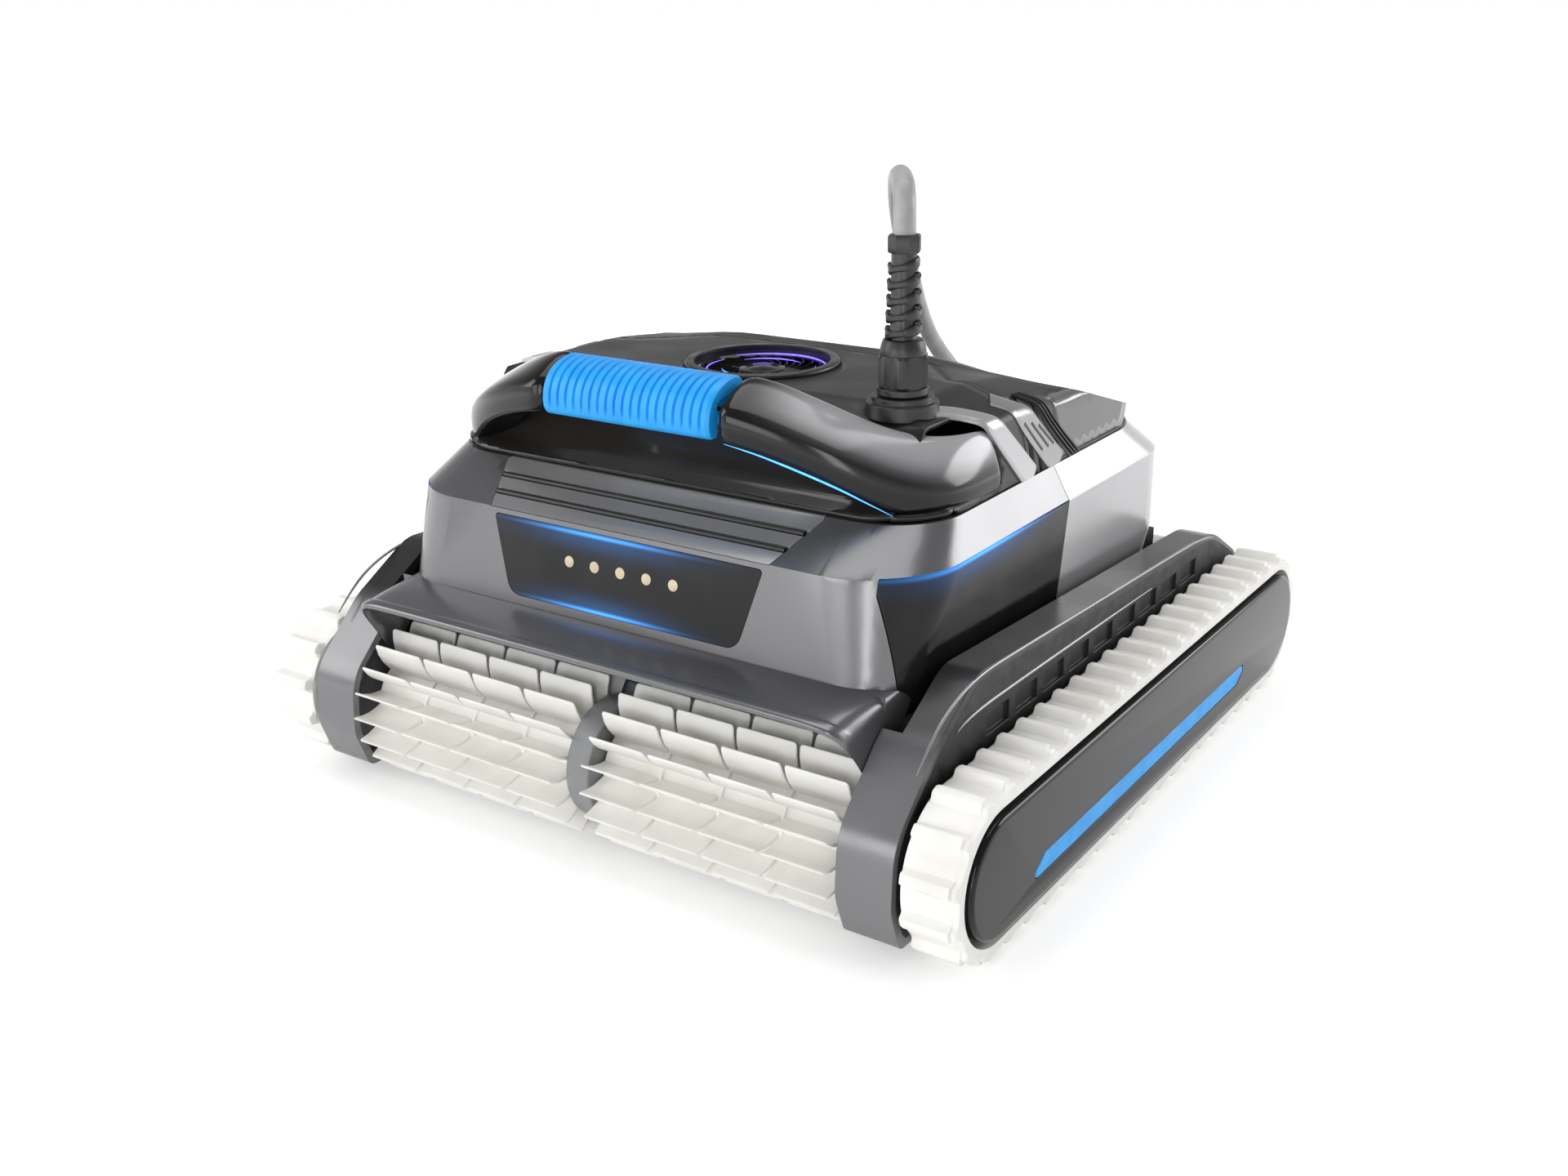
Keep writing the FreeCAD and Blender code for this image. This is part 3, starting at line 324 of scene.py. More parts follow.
glowBlue = "#3F9BFF"
finishes["litAbsBlack"] = litPanel(
    "litAbsBlack", "#1A1A1B", "#222223", (0.14, 0.22),
    [{"along": "Y", "height": 153.6, "halfWidth": 1.1, "middle": -92, "reach": 42, "strength": 1.6},
     {"along": "Y", "height": 152.5, "halfWidth": 7, "middle": -92, "reach": 44, "strength": 0.20}], glowBlue)
finishes["smokedPolycarbonate"] = litPanel(
    "smokedPolycarbonate", "#1B1B1C", "#232324", (0.10, 0.17),
    [{"along": "X", "height": 149.6, "halfWidth": 0.9, "middle": -14, "reach": 38, "strength": 1.5},
     {"along": "X", "height": 148, "halfWidth": 5.5, "middle": -14, "reach": 42, "strength": 0.2},
     {"along": "X", "height": 112.8, "halfWidth": 0.9, "middle": -10, "reach": 32, "strength": 1.6},
     {"along": "X", "height": 114.5, "halfWidth": 5, "middle": -10, "reach": 36, "strength": 0.2}], glowBlue)


def lamp(name, colour, strength, body):
    # a lit light guide or lamp: its own plastic with light in it, brighter in patches
    made, tree, place = newMaterial(name)
    noise = node(tree, "ShaderNodeTexNoise", sockets={"Vector": place, "Scale": 260.0, "Detail": 2})
    level = node(tree, "ShaderNodeMapRange",
                 sockets={"Value": noise.outputs["Fac"], "From Min": 0.3, "From Max": 0.7,
                          "To Min": strength * 0.8, "To Max": strength * 1.2})
    finish(tree, node(tree, "ShaderNodeBsdfPrincipled",
                      sockets={"Base Color": linear(body), "Roughness": 0.3,
                               "Emission Color": linear(colour),
                               "Emission Strength": level.outputs["Result"]}))
    return made


def stepBack(tree, place, start, stop, low=0.0, high=1.0):
    # a value that changes smoothly from front to rear, between two places along Y in mm
    parts = node(tree, "ShaderNodeSeparateXYZ", sockets={"Vector": place})
    return node(tree, "ShaderNodeMapRange", {"interpolation_type": "SMOOTHSTEP"},
                {"Value": parts.outputs["Y"], "From Min": start * mm, "From Max": stop * mm,
                 "To Min": low, "To Max": high}).outputs["Result"]


def maskedLacquer(name, look):
    # grey lacquer on the front leg, masked off behind the knee where the black plastic shows
    made, tree, place = newMaterial(name)
    share = stepBack(tree, place, look["greyTo"], look["blackFrom"])
    ramp = node(tree, "ShaderNodeValToRGB", sockets={"Fac": share})
    ramp.color_ramp.elements[0].color = linear(look["grey"])
    ramp.color_ramp.elements[1].color = linear(look["black"])
    finish(tree, node(tree, "ShaderNodeBsdfPrincipled",
                      sockets={"Base Color": ramp.outputs["Color"], "Metallic": 0.35, "IOR": 1.45,
                               "Roughness": spread(tree, place, 0.22, 0.30, 30),
                               "Normal": grain(tree, place, 1.6, 0.01, 0.1)}))
    return made


def partPolished(name, look):
    # satin moulded ABS whose hand recess is polished in the tool, ahead of a line across the cover
    made, tree, place = newMaterial(name)
    gloss = stepBack(tree, place, look["polishedTo"], look["satinFrom"], look["polished"], look["satin"])
    wander = node(tree, "ShaderNodeMath", {"operation": "MULTIPLY"},
                  {0: gloss, 1: spread(tree, place, 0.9, 1.1, 25)})
    colour = mottled(tree, place, look["dark"], look["light"], 40)
    finish(tree, node(tree, "ShaderNodeBsdfPrincipled",
                      sockets={"Base Color": colour, "IOR": 1.4, "Roughness": wander.outputs[0],
                               "Normal": grain(tree, place, 0.9, 0.02, 0.15)}))
    return made


# places along Y in mm, and the roughness of each stretch
coverLook = {"dark": "#262422", "light": "#2C2A28", "polishedTo": -112, "satinFrom": -98,
             "polished": 0.13, "satin": 0.42}
legLook = {"grey": "#7C7C7E", "black": "#3A3A3B", "greyTo": -186, "blackFrom": -166}
finishes["partPolishedAbs"] = partPolished("partPolishedAbs", coverLook)
finishes["maskedLacquerGrey"] = maskedLacquer("maskedLacquerGrey", legLook)
finishes["litGuideBlue"] = lamp("litGuideBlue", "#4BA3FF", 2.2, "#2A5C9A")
finishes["litLampWarm"] = lamp("litLampWarm", "#F0D9AE", 0.34, "#A89F8A")
finishes["litGuideViolet"] = lamp("litGuideViolet", "#7560F8", 2.2, "#3A2C8A")

# the finish of each CAD piece, by how its name starts; the longest match holds
nodeFinish = {
    "front_shell": "lacqueredAbsGunmetal", "rear_shell": "lacqueredAbsLight",
    "front_grille": "lacqueredAbsSilver", "top_cover": "partPolishedAbs", "rear_cover": "satinAbsBlack",
    "carry_handle": "polishedAbsBlack", "side_panel": "litAbsBlack", "outer_plate": "polishedAbsBlack",
    "handle_grip": "overmouldedRubberBlue", "accent_strip": "overmouldedRubberBlue",
    "led_window": "smokedPolycarbonate", "window": "tintedAcrylicGrey", "fender": "maskedLacquerGrey",
    "side_frame": "mouldedPolypropyleneBlack", "chassis_tray": "mouldedPolypropyleneBlack",
    "filter_door": "mouldedPolypropyleneBlack", "filter_basket": "mouldedPolypropyleneBlack",
    "inlet_flap": "mouldedRubberCream", "motor_box": "mouldedPolypropyleneBlack",
    "outlet": "satinAbsCharcoal", "gland": "satinAbsCharcoal", "bend_relief": "mouldedPvcBlack",
    "belt": "mouldedRubberCream", "brush_collar": "mouldedAcetalGrey", "brush": "mouldedRubberCream",
    "wheel": "mouldedAcetalGrey", "drive_sprocket": "mouldedAcetalGrey", "propeller": "mouldedAcetalGrey",
    "shaft_bushes": "mouldedNylonNatural", "pump_motor": "galvanisedSteel", "drive_motors": "galvanisedSteel",
    "shell_screws": "turnedStainless", "led_board": "solderMaskGreen", "control_board": "solderMaskGreen",
    "cable": "extrudedPvcGrey", "cable_plug": "mouldedPvcBlack", "coil_tie": "mouldedPvcBlack"}


def finishOf(name):
    matches = [key for key in nodeFinish if name.startswith(key)]
    return finishes[nodeFinish[max(matches, key=len)]]


for name, obj in nodes.items():
    obj.data.materials.clear()
    obj.data.materials.append(finishOf(name))
print("finishes set")


# moulded pieces with rounded edges
# each has the width of its rounded edges, in mm
roundedPieces = {"front_shell": 1.2, "rear_shell": 1.2,
                 "side_panel_left": 0.8, "side_panel_right": 0.8, "front_grille": 0.7,
                 "led_window": 0.8,
                 "fender_left": 1.2, "fender_right": 1.2, "side_frame_left": 0.8, "side_frame_right": 0.8,
                 "outer_plate_left": 0.6, "outer_plate_right": 0.6,
                 "accent_strip_left": 0.8, "accent_strip_right": 0.8,
                 "gland_flange": 0.8, "gland_neck": 0.7, "chassis_tray": 0.8,
                 "brush_collar_front": 1.0, "brush_collar_rear": 1.0, "outlet_ring": 0.5}


def facesOut(centre, normal):
    # true for the outer skin of a shell that stands round the middle of the machine
    return normal.dot((centre - Vector((0, 0, 0.10))).normalized()) > 0.25


# the hood's pieces and the width of their rounded ridges, and how the skin is made; mm and degrees
hoodPieces = {"top_cover": 3.5, "rear_cover": 3.5, "window_left": 3.0, "window_right": 3.0}
hoodSkin = {"ridgeAngle": 13, "segments": 4, "facet": 9, "wall": 2.6}
flatAngle = math.radians(0.6)     # faces within this of one plane are joined

# the lip of the front shell, left out there and made below as one curved skirt: ahead of and below, mm
shellLip = {"ahead": -172.2, "below": 108.5}

# the hood is slightly domed behind the outlet: its rear corners drop and the rear slope swells, in mm
dome = {"cornerDrop": 6.0, "swell": 4.0, "rim": 172.0, "top": 214.0}


def ease(low, high, value):
    t = max(0.0, min(1.0, (value - low) / (high - low)))
    return t * t * (3 - 2 * t)


def domeLift(x, y, z):
    height = max(0.0, min(1.0, (z - dome["rim"]) / (dome["top"] - dome["rim"])))
    out = ease(50, 118, abs(x))
    swell = dome["swell"] * ease(0, 50, y) * (1 - ease(80, 124, y)) * (1 - out)
    return swell * min(1.0, height * 3) - dome["cornerDrop"] * ease(-40, 30, y) * out * height


def softSkin(name, width):
    # the outer skin alone, its ridges rounded wide and the dome given to it, then a wall again
    work = bmesh.new()
    work.from_mesh(nodes[name].data)
    bmesh.ops.remove_doubles(work, verts=work.verts, dist=1e-6)
    inside = [f for f in work.faces     # the lining, and the upright walls of the seams
              if f.normal.z < 0.1 or not facesOut(f.calc_center_median(), f.normal)]
    bmesh.ops.delete(work, geom=inside, context="FACES")
    bmesh.ops.dissolve_limit(work, angle_limit=flatAngle, verts=work.verts, edges=work.edges)
    ridges = [e for e in work.edges
              if len(e.link_faces) == 2 and e.calc_face_angle() > math.radians(hoodSkin["ridgeAngle"])]
    bmesh.ops.bevel(work, geom=ridges, offset=width * mm, segments=hoodSkin["segments"], profile=0.5,
                    affect="EDGES", clamp_overlap=True)
    bmesh.ops.remove_doubles(work, verts=work.verts, dist=0.05 * mm)
    bmesh.ops.triangulate(work, faces=work.faces)
    for _ in range(4):
        long = [e for e in work.edges if e.calc_length() > hoodSkin["facet"] * mm]
        bmesh.ops.subdivide_edges(work, edges=long, cuts=1)
        bmesh.ops.triangulate(work, faces=[f for f in work.faces if len(f.verts) > 3])
    for v in work.verts:
        v.co.z += domeLift(*(v.co / mm)) * mm
    mesh = bpy.data.meshes.new(name + ".soft")
    work.to_mesh(mesh)
    work.free()
    made = addObject(name + ".soft", mesh, nodes[name]["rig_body"], finishOf(name), replaces=[name])
    wall = made.modifiers.new("wall", "SOLIDIFY")
    wall.thickness = hoodSkin["wall"] * mm
    wall.offset = -1
    smooth(mesh, 40)


def roundedCopy(name, width):
    work = bmesh.new()
    work.from_mesh(nodes[name].data)
    bmesh.ops.remove_doubles(work, verts=work.verts, dist=1e-6)
    bmesh.ops.dissolve_limit(work, angle_limit=flatAngle, verts=work.verts, edges=work.edges)
    if name == "front_shell":
        lip = [v for v in work.verts if v.co.y < shellLip["ahead"] * mm and v.co.z < shellLip["below"] * mm]
        bmesh.ops.delete(work, geom=lip, context="VERTS")
    mesh = bpy.data.meshes.new(name + ".rounded")
    work.to_mesh(mesh)
    work.free()
    made = addObject(name + ".rounded", mesh, nodes[name]["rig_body"], finishOf(name), replaces=[name])
    bevel = made.modifiers.new("roundedEdges", "BEVEL")
    bevel.width = width * mm
    bevel.segments = 3
    bevel.limit_method = "ANGLE"
    bevel.angle_limit = math.radians(32)
    bevel.use_clamp_overlap = True
    bevel.harden_normals = True
    smooth(mesh, 32)


for name, width in roundedPieces.items():
    roundedCopy(name, width)
for name, width in hoodPieces.items():
    softSkin(name, width)
print("rounded pieces made")


def surfaceOf(name):
    # the outer skin of a piece, to find places on
    mesh = nodes[name].data
    faces = [list(face.vertices) for face in mesh.polygons if facesOut(face.center, face.normal)]
    return BVHTree.FromPolygons([v.co.copy() for v in mesh.vertices], faces)


def curvePoints(points, count):
    # evenly spaced points along a smooth line through the given ones
    data = bpy.data.curves.new("line", "CURVE")
    data.dimensions = "3D"
    spline = data.splines.new("NURBS")
    spline.points.add(len(points) - 1)
    for point, place in zip(spline.points, points):
        point.co = (*place, 1)
    spline.order_u = 3
    spline.use_endpoint_u = True
    spline.resolution_u = 24
    holder = bpy.data.objects.new("line", data)
    mesh = bpy.data.meshes.new_from_object(holder)
    line = [v.co.copy() for v in mesh.vertices]
    bpy.data.objects.remove(holder)
    bpy.data.meshes.remove(mesh)
    bpy.data.curves.remove(data)
    lengths = [0.0]
    for a, b in zip(line, line[1:]):
        lengths.append(lengths[-1] + (b - a).length)
    evenly = []
    for i in range(count):
        want = lengths[-1] * i / (count - 1)
        k = max(j for j in range(len(line) - 1) if lengths[j] <= want + 1e-12)
        share = (want - lengths[k]) / max(lengths[k + 1] - lengths[k], 1e-12)
        evenly.append(line[k].lerp(line[k + 1], min(1.0, share)))
    return evenly


# the covers' section across the machine, from the lower rim up: x, z and the radius at each corner
coverSection = [(147, 171.6, 0), (140, 204, 7), (126, 209, 12), (111, 214, 20), (70, 214, 0)]


def sectionLine(corners):
    # the section as points, with a curve round each corner
    steps = 8
    line = [Vector(corners[0][:2])]
    for before, (x, z, radius), after in zip(corners, corners[1:], corners[2:]):
        corner = Vector((x, z))
        back = (Vector(before[:2]) - corner).normalized()
        ahead = (Vector(after[:2]) - corner).normalized()
        reach = radius / math.tan(back.angle(ahead) / 2)
        start, end = corner + back * reach, corner + ahead * reach
        for i in range(steps + 1):
            t = i / steps
            line.append(start * (1 - t) ** 2 + corner * 2 * t * (1 - t) + end * t * t)
    return line + [Vector(corners[-1][:2])]


coverLine = sectionLine(coverSection)


def coverAt(up):
    # place on the section, a distance up from the lower rim
    for a, b in zip(coverLine, coverLine[1:]):
        length = (b - a).length
        if up <= length or b is coverLine[-1]:
            return a + (b - a) * (up / length)
        up -= length


def coverSpot(y, up, side):
    # a place on the domed cover and the way it faces
    middle, rise = coverAt(up), coverAt(up + 2) - coverAt(up - 2)
    out = Vector((rise.y, -rise.x)).normalized()
    height = middle.y + domeLift(middle.x, y, middle.y)
    return Vector((middle.x * side, y, height)), Vector((out.x * side, 0, out.y))


def insetOn(name, points, widths, riseMm, side, look):
    # a piece lying on a cover; the line gives y and the distance up the section, in mm
    count, across = 48, 9     # points along it and across it
    edge = 0.22               # share of its half width that is rounded down
    line = curvePoints([Vector((y, up, 0)) for y, up in points], count)
    rings = []
    for i, middle in enumerate(line):
        ahead = (line[min(i + 1, count - 1)] - line[max(i - 1, 0)]).normalized()
        half = (widths[0] + (widths[1] - widths[0]) * i / (count - 1)) / 2
        top, low = [], []
        for j in range(across):
            share = -1 + 2 * j / (across - 1)
            up = max(-0.4, middle.y + ahead.x * half * share)
            spot, normal = coverSpot(middle.x - ahead.y * half * share, up, side)
            lift = riseMm * (1 - 0.5 * max(0.0, (abs(share) - (1 - edge)) / edge) ** 2)
            top.append((spot + normal * lift) * mm)
            low.append((spot - normal * 0.8) * mm)
        rings.append(top + low[::-1])
    verts, faces = lofted(rings)
    addObject(name, meshFrom(name, verts, faces, 50), "machine", finishes[look])


# the cable from the gland down to the floor, and its coil; metres
cable = {"diameter": 0.0104, "exit": (0.108, -0.086, 0.292),
         "route": [(0.108, -0.086, 0.292), (0.108, -0.086, 0.303), (0.103, -0.0785, 0.3128),
                   (0.093, -0.0645, 0.315), (0.082, -0.0475, 0.3115), (0.066, -0.021, 0.3015),
                   (0.045, 0.017, 0.283), (0.021, 0.066, 0.2545), (0.0, 0.113, 0.2255),
                   (-0.0125, 0.146, 0.202), (-0.0175, 0.170, 0.183), (-0.014, 0.188, 0.165),
                   (-0.008, 0.203, 0.143), (-0.002, 0.216, 0.114), (0.003, 0.228, 0.082),
                   (0.006, 0.242, 0.052), (0.008, 0.258, 0.024), (0.006, 0.281, 0.0058),
                   (0.001, 0.308, 0.0055)],
         "coil": {"middle": (-0.130, 0.352), "mean": 0.093, "columns": 6, "rows": 4, "perTurn": 16}}


def coilPoints(spec, diameter, entry):
    # turns lie side by side, in then out, one layer on the next, a diameter apart
    middleX, middleY = spec["middle"]
    step = 2 * math.pi / spec["perTurn"]
    points = []
    start = math.atan2(entry[1] - middleY, entry[0] - middleX)
    radii = [spec["mean"] + (spec["columns"] / 2 - 0.5 - k) * diameter for k in range(spec["columns"])]
    places = []
    for row in range(spec["rows"]):
        order = radii if row % 2 == 0 else radii[::-1]
        places += [(radius, diameter * (row + 0.5) + 0.0004) for radius in order]
    stretch = 1 / math.cos(step / 2)      # control points stand outside the round they make
    angle = start + step
    for index, (radius, height) in enumerate(places):
        following = places[min(index + 1, len(places) - 1)]
        for k in range(spec["perTurn"]):
            share = max(0.0, (k - (spec["perTurn"] - 4)) / 4)   # the step over to the next place
            r = (radius + (following[0] - radius) * share) * stretch
            z = height + (following[1] - height) * share
            points.append((middleX + r * math.cos(angle), middleY + r * math.sin(angle), z))
            angle += step
    return points


def splineObject(name, points, radius, material, body, resolution=6, bevel=6, radii=None):
    # a round piece along a smooth line; radii are shares of the radius at each point
    data = bpy.data.curves.new(name, "CURVE")
    data.dimensions = "3D"
    data.bevel_depth = radius
    data.bevel_resolution = bevel
    data.use_fill_caps = True
    spline = data.splines.new("NURBS")
    spline.points.add(len(points) - 1)
    for i, (point, place) in enumerate(zip(spline.points, points)):
        point.co = (*place, 1)
        if radii:
            point.radius = radii[i]
    spline.order_u = 3
    spline.use_endpoint_u = True
    spline.resolution_u = resolution
    return addObject(name, data, body, material)


cableLine = cable["route"][:-1] + coilPoints(cable["coil"], cable["diameter"], cable["route"][-1])
cablePiece = splineObject("cable", cableLine, cable["diameter"] / 2, finishes["extrudedPvcGrey"], "machine",
                          resolution=3)
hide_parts("cable_run", "cable_coil")
print("cable laid")


def merged(name, parts, body, look, replaces=(), angle=35):
    # several closed shapes as one piece; parts are (verts, faces)
    verts, faces = [], []
    for partVerts, partFaces in parts:
        start = len(verts)
        verts += partVerts
        faces += [tuple(start + i for i in face) for face in partFaces]
    return addObject(name, meshFrom(name, verts, faces, angle), body, finishes[look],
                     replaces=replaces)


def turnedShape(profile, middle, axis="Z", segments=48):
    # a turned shape from (radius, height) pairs in mm about an axis through middle
    rings = []
    for radius, height in profile:
        ring = []
        for k in range(segments):
            a = 2 * math.pi * k / segments
            u, v = radius * math.cos(a), radius * math.sin(a)
            spot = (u, v, height) if axis == "Z" else (height, u, v) if axis == "X" else (v, height, u)
            ring.append((Vector(spot) + Vector(middle)) * mm)
        rings.append(ring)
    return lofted(rings)


# connector on the cable's far end; mm
connector = {"place": (-130.0, 351.8, 12.0), "barrelRadius": 11.5, "grooves": 7}


def connectorProfile(spec):
    r = spec["barrelRadius"]
    profile = [(r - 5, 0.0), (r - 4.5, 3.0), (r - 4.4, 3.1), (r - 1, 0.4), (r, 1.4)]
    for i in range(spec["grooves"]):
        y = 4 + i * 2.4
        profile += [(r, y), (r - 0.7, y + 0.4), (r - 0.7, y + 1.2), (r, y + 1.6)]
    profile += [(r, 21), (r - 1, 22), (9.5, 22.2), (9.5, 43), (8.8, 44), (7.2, 44.4)]
    for i in range(5):
        y = 46 + i * 2.6
        profile += [(7.2 - i * 0.25, y), (5.9, y + 0.5), (5.9, y + 1.3), (7.1 - i * 0.25, y + 1.8)]
    profile += [(5.6, 60.5), (5.3, 61.5)]
    return profile


connectorShape = turnedShape(connectorProfile(connector), connector["place"], axis="Y", segments=64)
plug = merged("cableConnector", [connectorShape], "machine", "mouldedPvcBlack",
              replaces=["cable_plug"], angle=30)


# gland nut and bend relief; mm
gland = {"x": 108.0, "y": -86.0, "nutLow": 223.0, "nutHigh": 238.0, "nutRadius": 13.0,
         "reliefLow": 245.0, "capLow": 284.0, "ribPitch": 7.4,
         "begin": 200.0}     # degrees round at which the rib starts


def nutShape(spec):
    # hexagon with its corners turned off at both ends, and a domed cone on it
    low, high, r = spec["nutLow"], spec["nutHigh"], spec["nutRadius"]
    flat = r * math.cos(math.radians(30))
    rings = []
    for z, corner in ((low, flat), (low + 1.2, r), (high - 1.2, r), (high, flat + 0.2),
                      (high + 0.1, 10.9), (high + 1.5, 10.9), (high + 4.5, 10.2), (high + 6.6, 9.4),
                      (high + 7, 8.6)):
        ring = []
        for k in range(72):
            a = 2 * math.pi * k / 72
            hexagon = flat / math.cos(math.radians(math.degrees(a) % 60 - 30))
            radius = min(corner, hexagon) if z <= high else corner
            ring.append(Vector((spec["x"] + radius * math.cos(a), spec["y"] + radius * math.sin(a), z)) * mm)
        rings.append(ring)
    return lofted(rings)


def knobShape(middle, a):
    # a small round knob that faces out at angle a
    out = Vector((math.cos(a), math.sin(a), 0))
    side = Vector((-math.sin(a), math.cos(a), 0))
    rings = []
    for reach, radius in ((-1.0, 1.6), (0.8, 1.7), (1.3, 1.4), (1.35, 0.8), (0.4, 0.7)):
        ring = []
        for k in range(16):
            t = 2 * math.pi * k / 16
            ring.append((middle + out * reach
                         + (side * math.cos(t) + Vector((0, 0, 1)) * math.sin(t)) * radius) * mm)
        rings.append(ring)
    return lofted(rings)


def reliefShapes(spec):
    # a core sleeve, a rib wound round it with knobs where it thickens, and a plain cap
    low, high = spec["reliefLow"], spec["capLow"]
    x, y = spec["x"], spec["y"]
    begin = math.radians(spec["begin"])
    shapes = [turnedShape([(5.3, low - 6), (6.4, low - 0.5), (6.2, low), (5.9, high + 1)], (x, y, 0)),
              turnedShape([(5.6, high - 0.4), (7.3, high - 0.2), (7.8, high + 0.6), (7.8, high + 6.9),
                           (7.3, high + 7.8), (5.8, high + 8), (5.5, high + 7.4)], (x, y, 0), segments=8)]
    turns = (high - low - 3) / spec["ribPitch"]
    steps = int(turns * 36)
    rings = []
    for i in range(steps + 1):
        share = i / steps
        a = 2 * math.pi * turns * share + begin
        z = low + 1.6 + share * (high - low - 3.4)
        outer = 8.5 - 1.4 * share
        thick = 2.0 + 0.5 * math.cos(2 * a)
        ring = []
        for r, dz in ((5.4, -thick * 0.8), (outer - 0.5, -thick), (outer, -thick * 0.6),
                      (outer, thick * 0.6), (outer - 0.5, thick), (5.4, thick * 0.8)):
            ring.append(Vector((x + r * math.cos(a), y + r * math.sin(a), z + dz)) * mm)
        rings.append(ring)
    shapes.append(lofted(rings))
    for i in range(int(turns * 2)):
        share = (i + 0.5) / (turns * 2)
        a = begin - math.radians(14) + math.pi * i
        z = low + 2.0 + share * (high - low - 4)
        r = 7.6 - 1.3 * share
        shapes.append(knobShape(Vector((x + r * math.cos(a), y + r * math.sin(a), z)), a))
    return shapes


merged("glandNut", [nutShape(gland)], "machine", "satinAbsCharcoal",
       replaces=["gland_nut"], angle=25)
merged("bendRelief", reliefShapes(gland), "machine", "mouldedPvcBlack",
       replaces=["bend_relief"])
print("gland made")


# carry handle; mm
# stations down the right arm: outer and inner plan points, outer and inner crest heights, underside
handle = {"half": 50.6,
          "bar": [(-149, 209.5), (-137, 209.5), (-135.5, 211), (-134.5, 222.5), (-136, 223.8),
                  (-148, 221), (-150, 219.5), (-150.8, 211)],     # inside the grip: y and z
          "stations": [((50.6, -157.6), (50.6, -128.9), 221.0, 230.6, 204.5),
                       ((62, -156.2), (60, -126.6), 219.5, 229.8, 202.8),
                       ((75, -153.6), (70, -123.4), 216.5, 227.2, 200.0),
                       ((90, -149.8), (80, -119.2), 212.0, 222.8, 195.4),
                       ((104, -144.6), (90, -114.4), 206.5, 218.0, 189.6),
                       ((118, -137.2), (100, -109.4), 200.0, 213.0, 181.6),
                       ((131, -127.6), (110, -104.2), 193.0, 208.4, 173.4),
                       ((140.5, -114.8), (120, -98.4), 188.0, 205.2, 172.0),
                       ((145.6, -100.0), (128, -91.0), 185.4, 203.4, 172.0),
                       ((146.9, -84.0), (133.6, -80.0), 184.0, 202.4, 172.0),
                       ((147.0, -70.0), (135.6, -69.0), 183.4, 201.6, 172.0),
                       ((147.0, -60.6), (136, -61.4), 183.0, 200.8, 172.0),
                       ((146.2, -59.0), (136.8, -60.2), 182.0, 198.6, 173.0)]}


def handleRing(outer, inner, outerTop, innerTop, low, side):
    # an arm's section: share of the way from its outer to its inner edge, and height
    o, n = Vector((*outer, 0)), Vector((*inner, 0))
    rise = innerTop - outerTop
    ring = []
    for across, z in ((0.06, low + 0.2), (0.0, low + 2.5), (-0.02, low + 0.5 * (outerTop - low)),
                      (0.0, outerTop - 2.5), (0.07, outerTop + 0.8), (0.30, outerTop + 0.48 * rise),
                      (0.58, outerTop + 0.88 * rise), (0.82, innerTop + 0.2), (0.95, innerTop - 0.6),
                      (1.0, innerTop - 3.0), (0.98, innerTop - 6.5), (0.90, low + 0.4 * (innerTop - low)),
                      (0.84, low + 3.0), (0.6, low), (0.3, low)):
        spot = o.lerp(n, across)
        ring.append(Vector((spot.x * side, spot.y, z)) * mm)
    return ring


# how far the painted highlight reaches, a silver fade painted over the arms: by place round the section, and
# along the arm
highlightRound = (0, 0, 0, 0.08, 0.3, 0.75, 1, 1, 1, 1, 0.6, 0, 0, 0, 0)
highlightAlong = (0, 0.1, 0.45, 0.8, 0.95, 1, 1, 1, 1, 1, 1, 1, 1)


def handleArms(spec):
    shapes = []
    for side in (1, -1):
        shapes.append(lofted([handleRing(*station, side) for station in spec["stations"]]))
    bar = [Vector((0, y, z)) * mm for y, z in spec["bar"]]
    reach = Vector(((spec["half"] + 1.5) * mm, 0, 0))
    shapes.append(lofted([[p - reach for p in bar], [p + reach for p in bar]]))
    return shapes


def highlightPaintedBlack(name):
    # polished black ABS with a silver fade painted over its inner crest, a painted highlight
    made, tree, place = newMaterial(name)
    fade = node(tree, "ShaderNodeAttribute", {"attribute_name": "paintedHighlightShare"})
    ramp = node(tree, "ShaderNodeValToRGB", sockets={"Fac": fade.outputs["Fac"]})
    ramp.color_ramp.interpolation = "EASE"
    ramp.color_ramp.elements[0].color = linear("#151516")
    ramp.color_ramp.elements[1].color = linear("#A6A6A8")
    finish(tree, node(tree, "ShaderNodeBsdfPrincipled",
                      sockets={"Base Color": ramp.outputs["Color"], "IOR": 1.42, "Metallic": 0.1,
                               "Roughness": spread(tree, place, 0.12, 0.2, 20),
                               "Normal": grain(tree, place, 14, 0.02, 0.1)}))
    return made


finishes["highlightPaintedBlack"] = highlightPaintedBlack("highlightPaintedBlack")
arms = merged("carryHandle", handleArms(handle), "machine", "highlightPaintedBlack",
              replaces=["carry_handle"], angle=60)
# each point of the arms gets its share of the painted highlight
highlightLevels = arms.data.attributes.new("paintedHighlightShare", "FLOAT", "POINT")
levels = [a * r for a in highlightAlong for r in highlightRound] * 2
levels += [0.0] * (len(arms.data.vertices) - len(levels))
highlightLevels.data.foreach_set("value", levels)
sub = arms.modifiers.new("rounding", "SUBSURF")
sub.levels = sub.render_levels = 2

# the grip's section, y and z: its outside from back to front over the top, then the hole for the bar
grip = {"half": 49.8, "ribs": 20, "groove": 1.5, "grooveShare": 0.24, "middle": (-143, 214),
        "outside": [(-131.2, 205.6), (-129.6, 210), (-129.0, 218), (-129.6, 226.2), (-131.6, 229.6),
                    (-136, 230.9), (-143, 230.2), (-150, 227.4), (-155, 223.2), (-158, 217.5),
                    (-158.9, 211.5), (-158.2, 206.8), (-155.8, 204.3), (-152.2, 204.4)],
        "hole": [(-151.4, 207.6), (-151.2, 219.2), (-148.6, 221.9), (-137, 224.4), (-134.2, 222.6),
                 (-134.4, 209.4), (-135, 206.2)]}


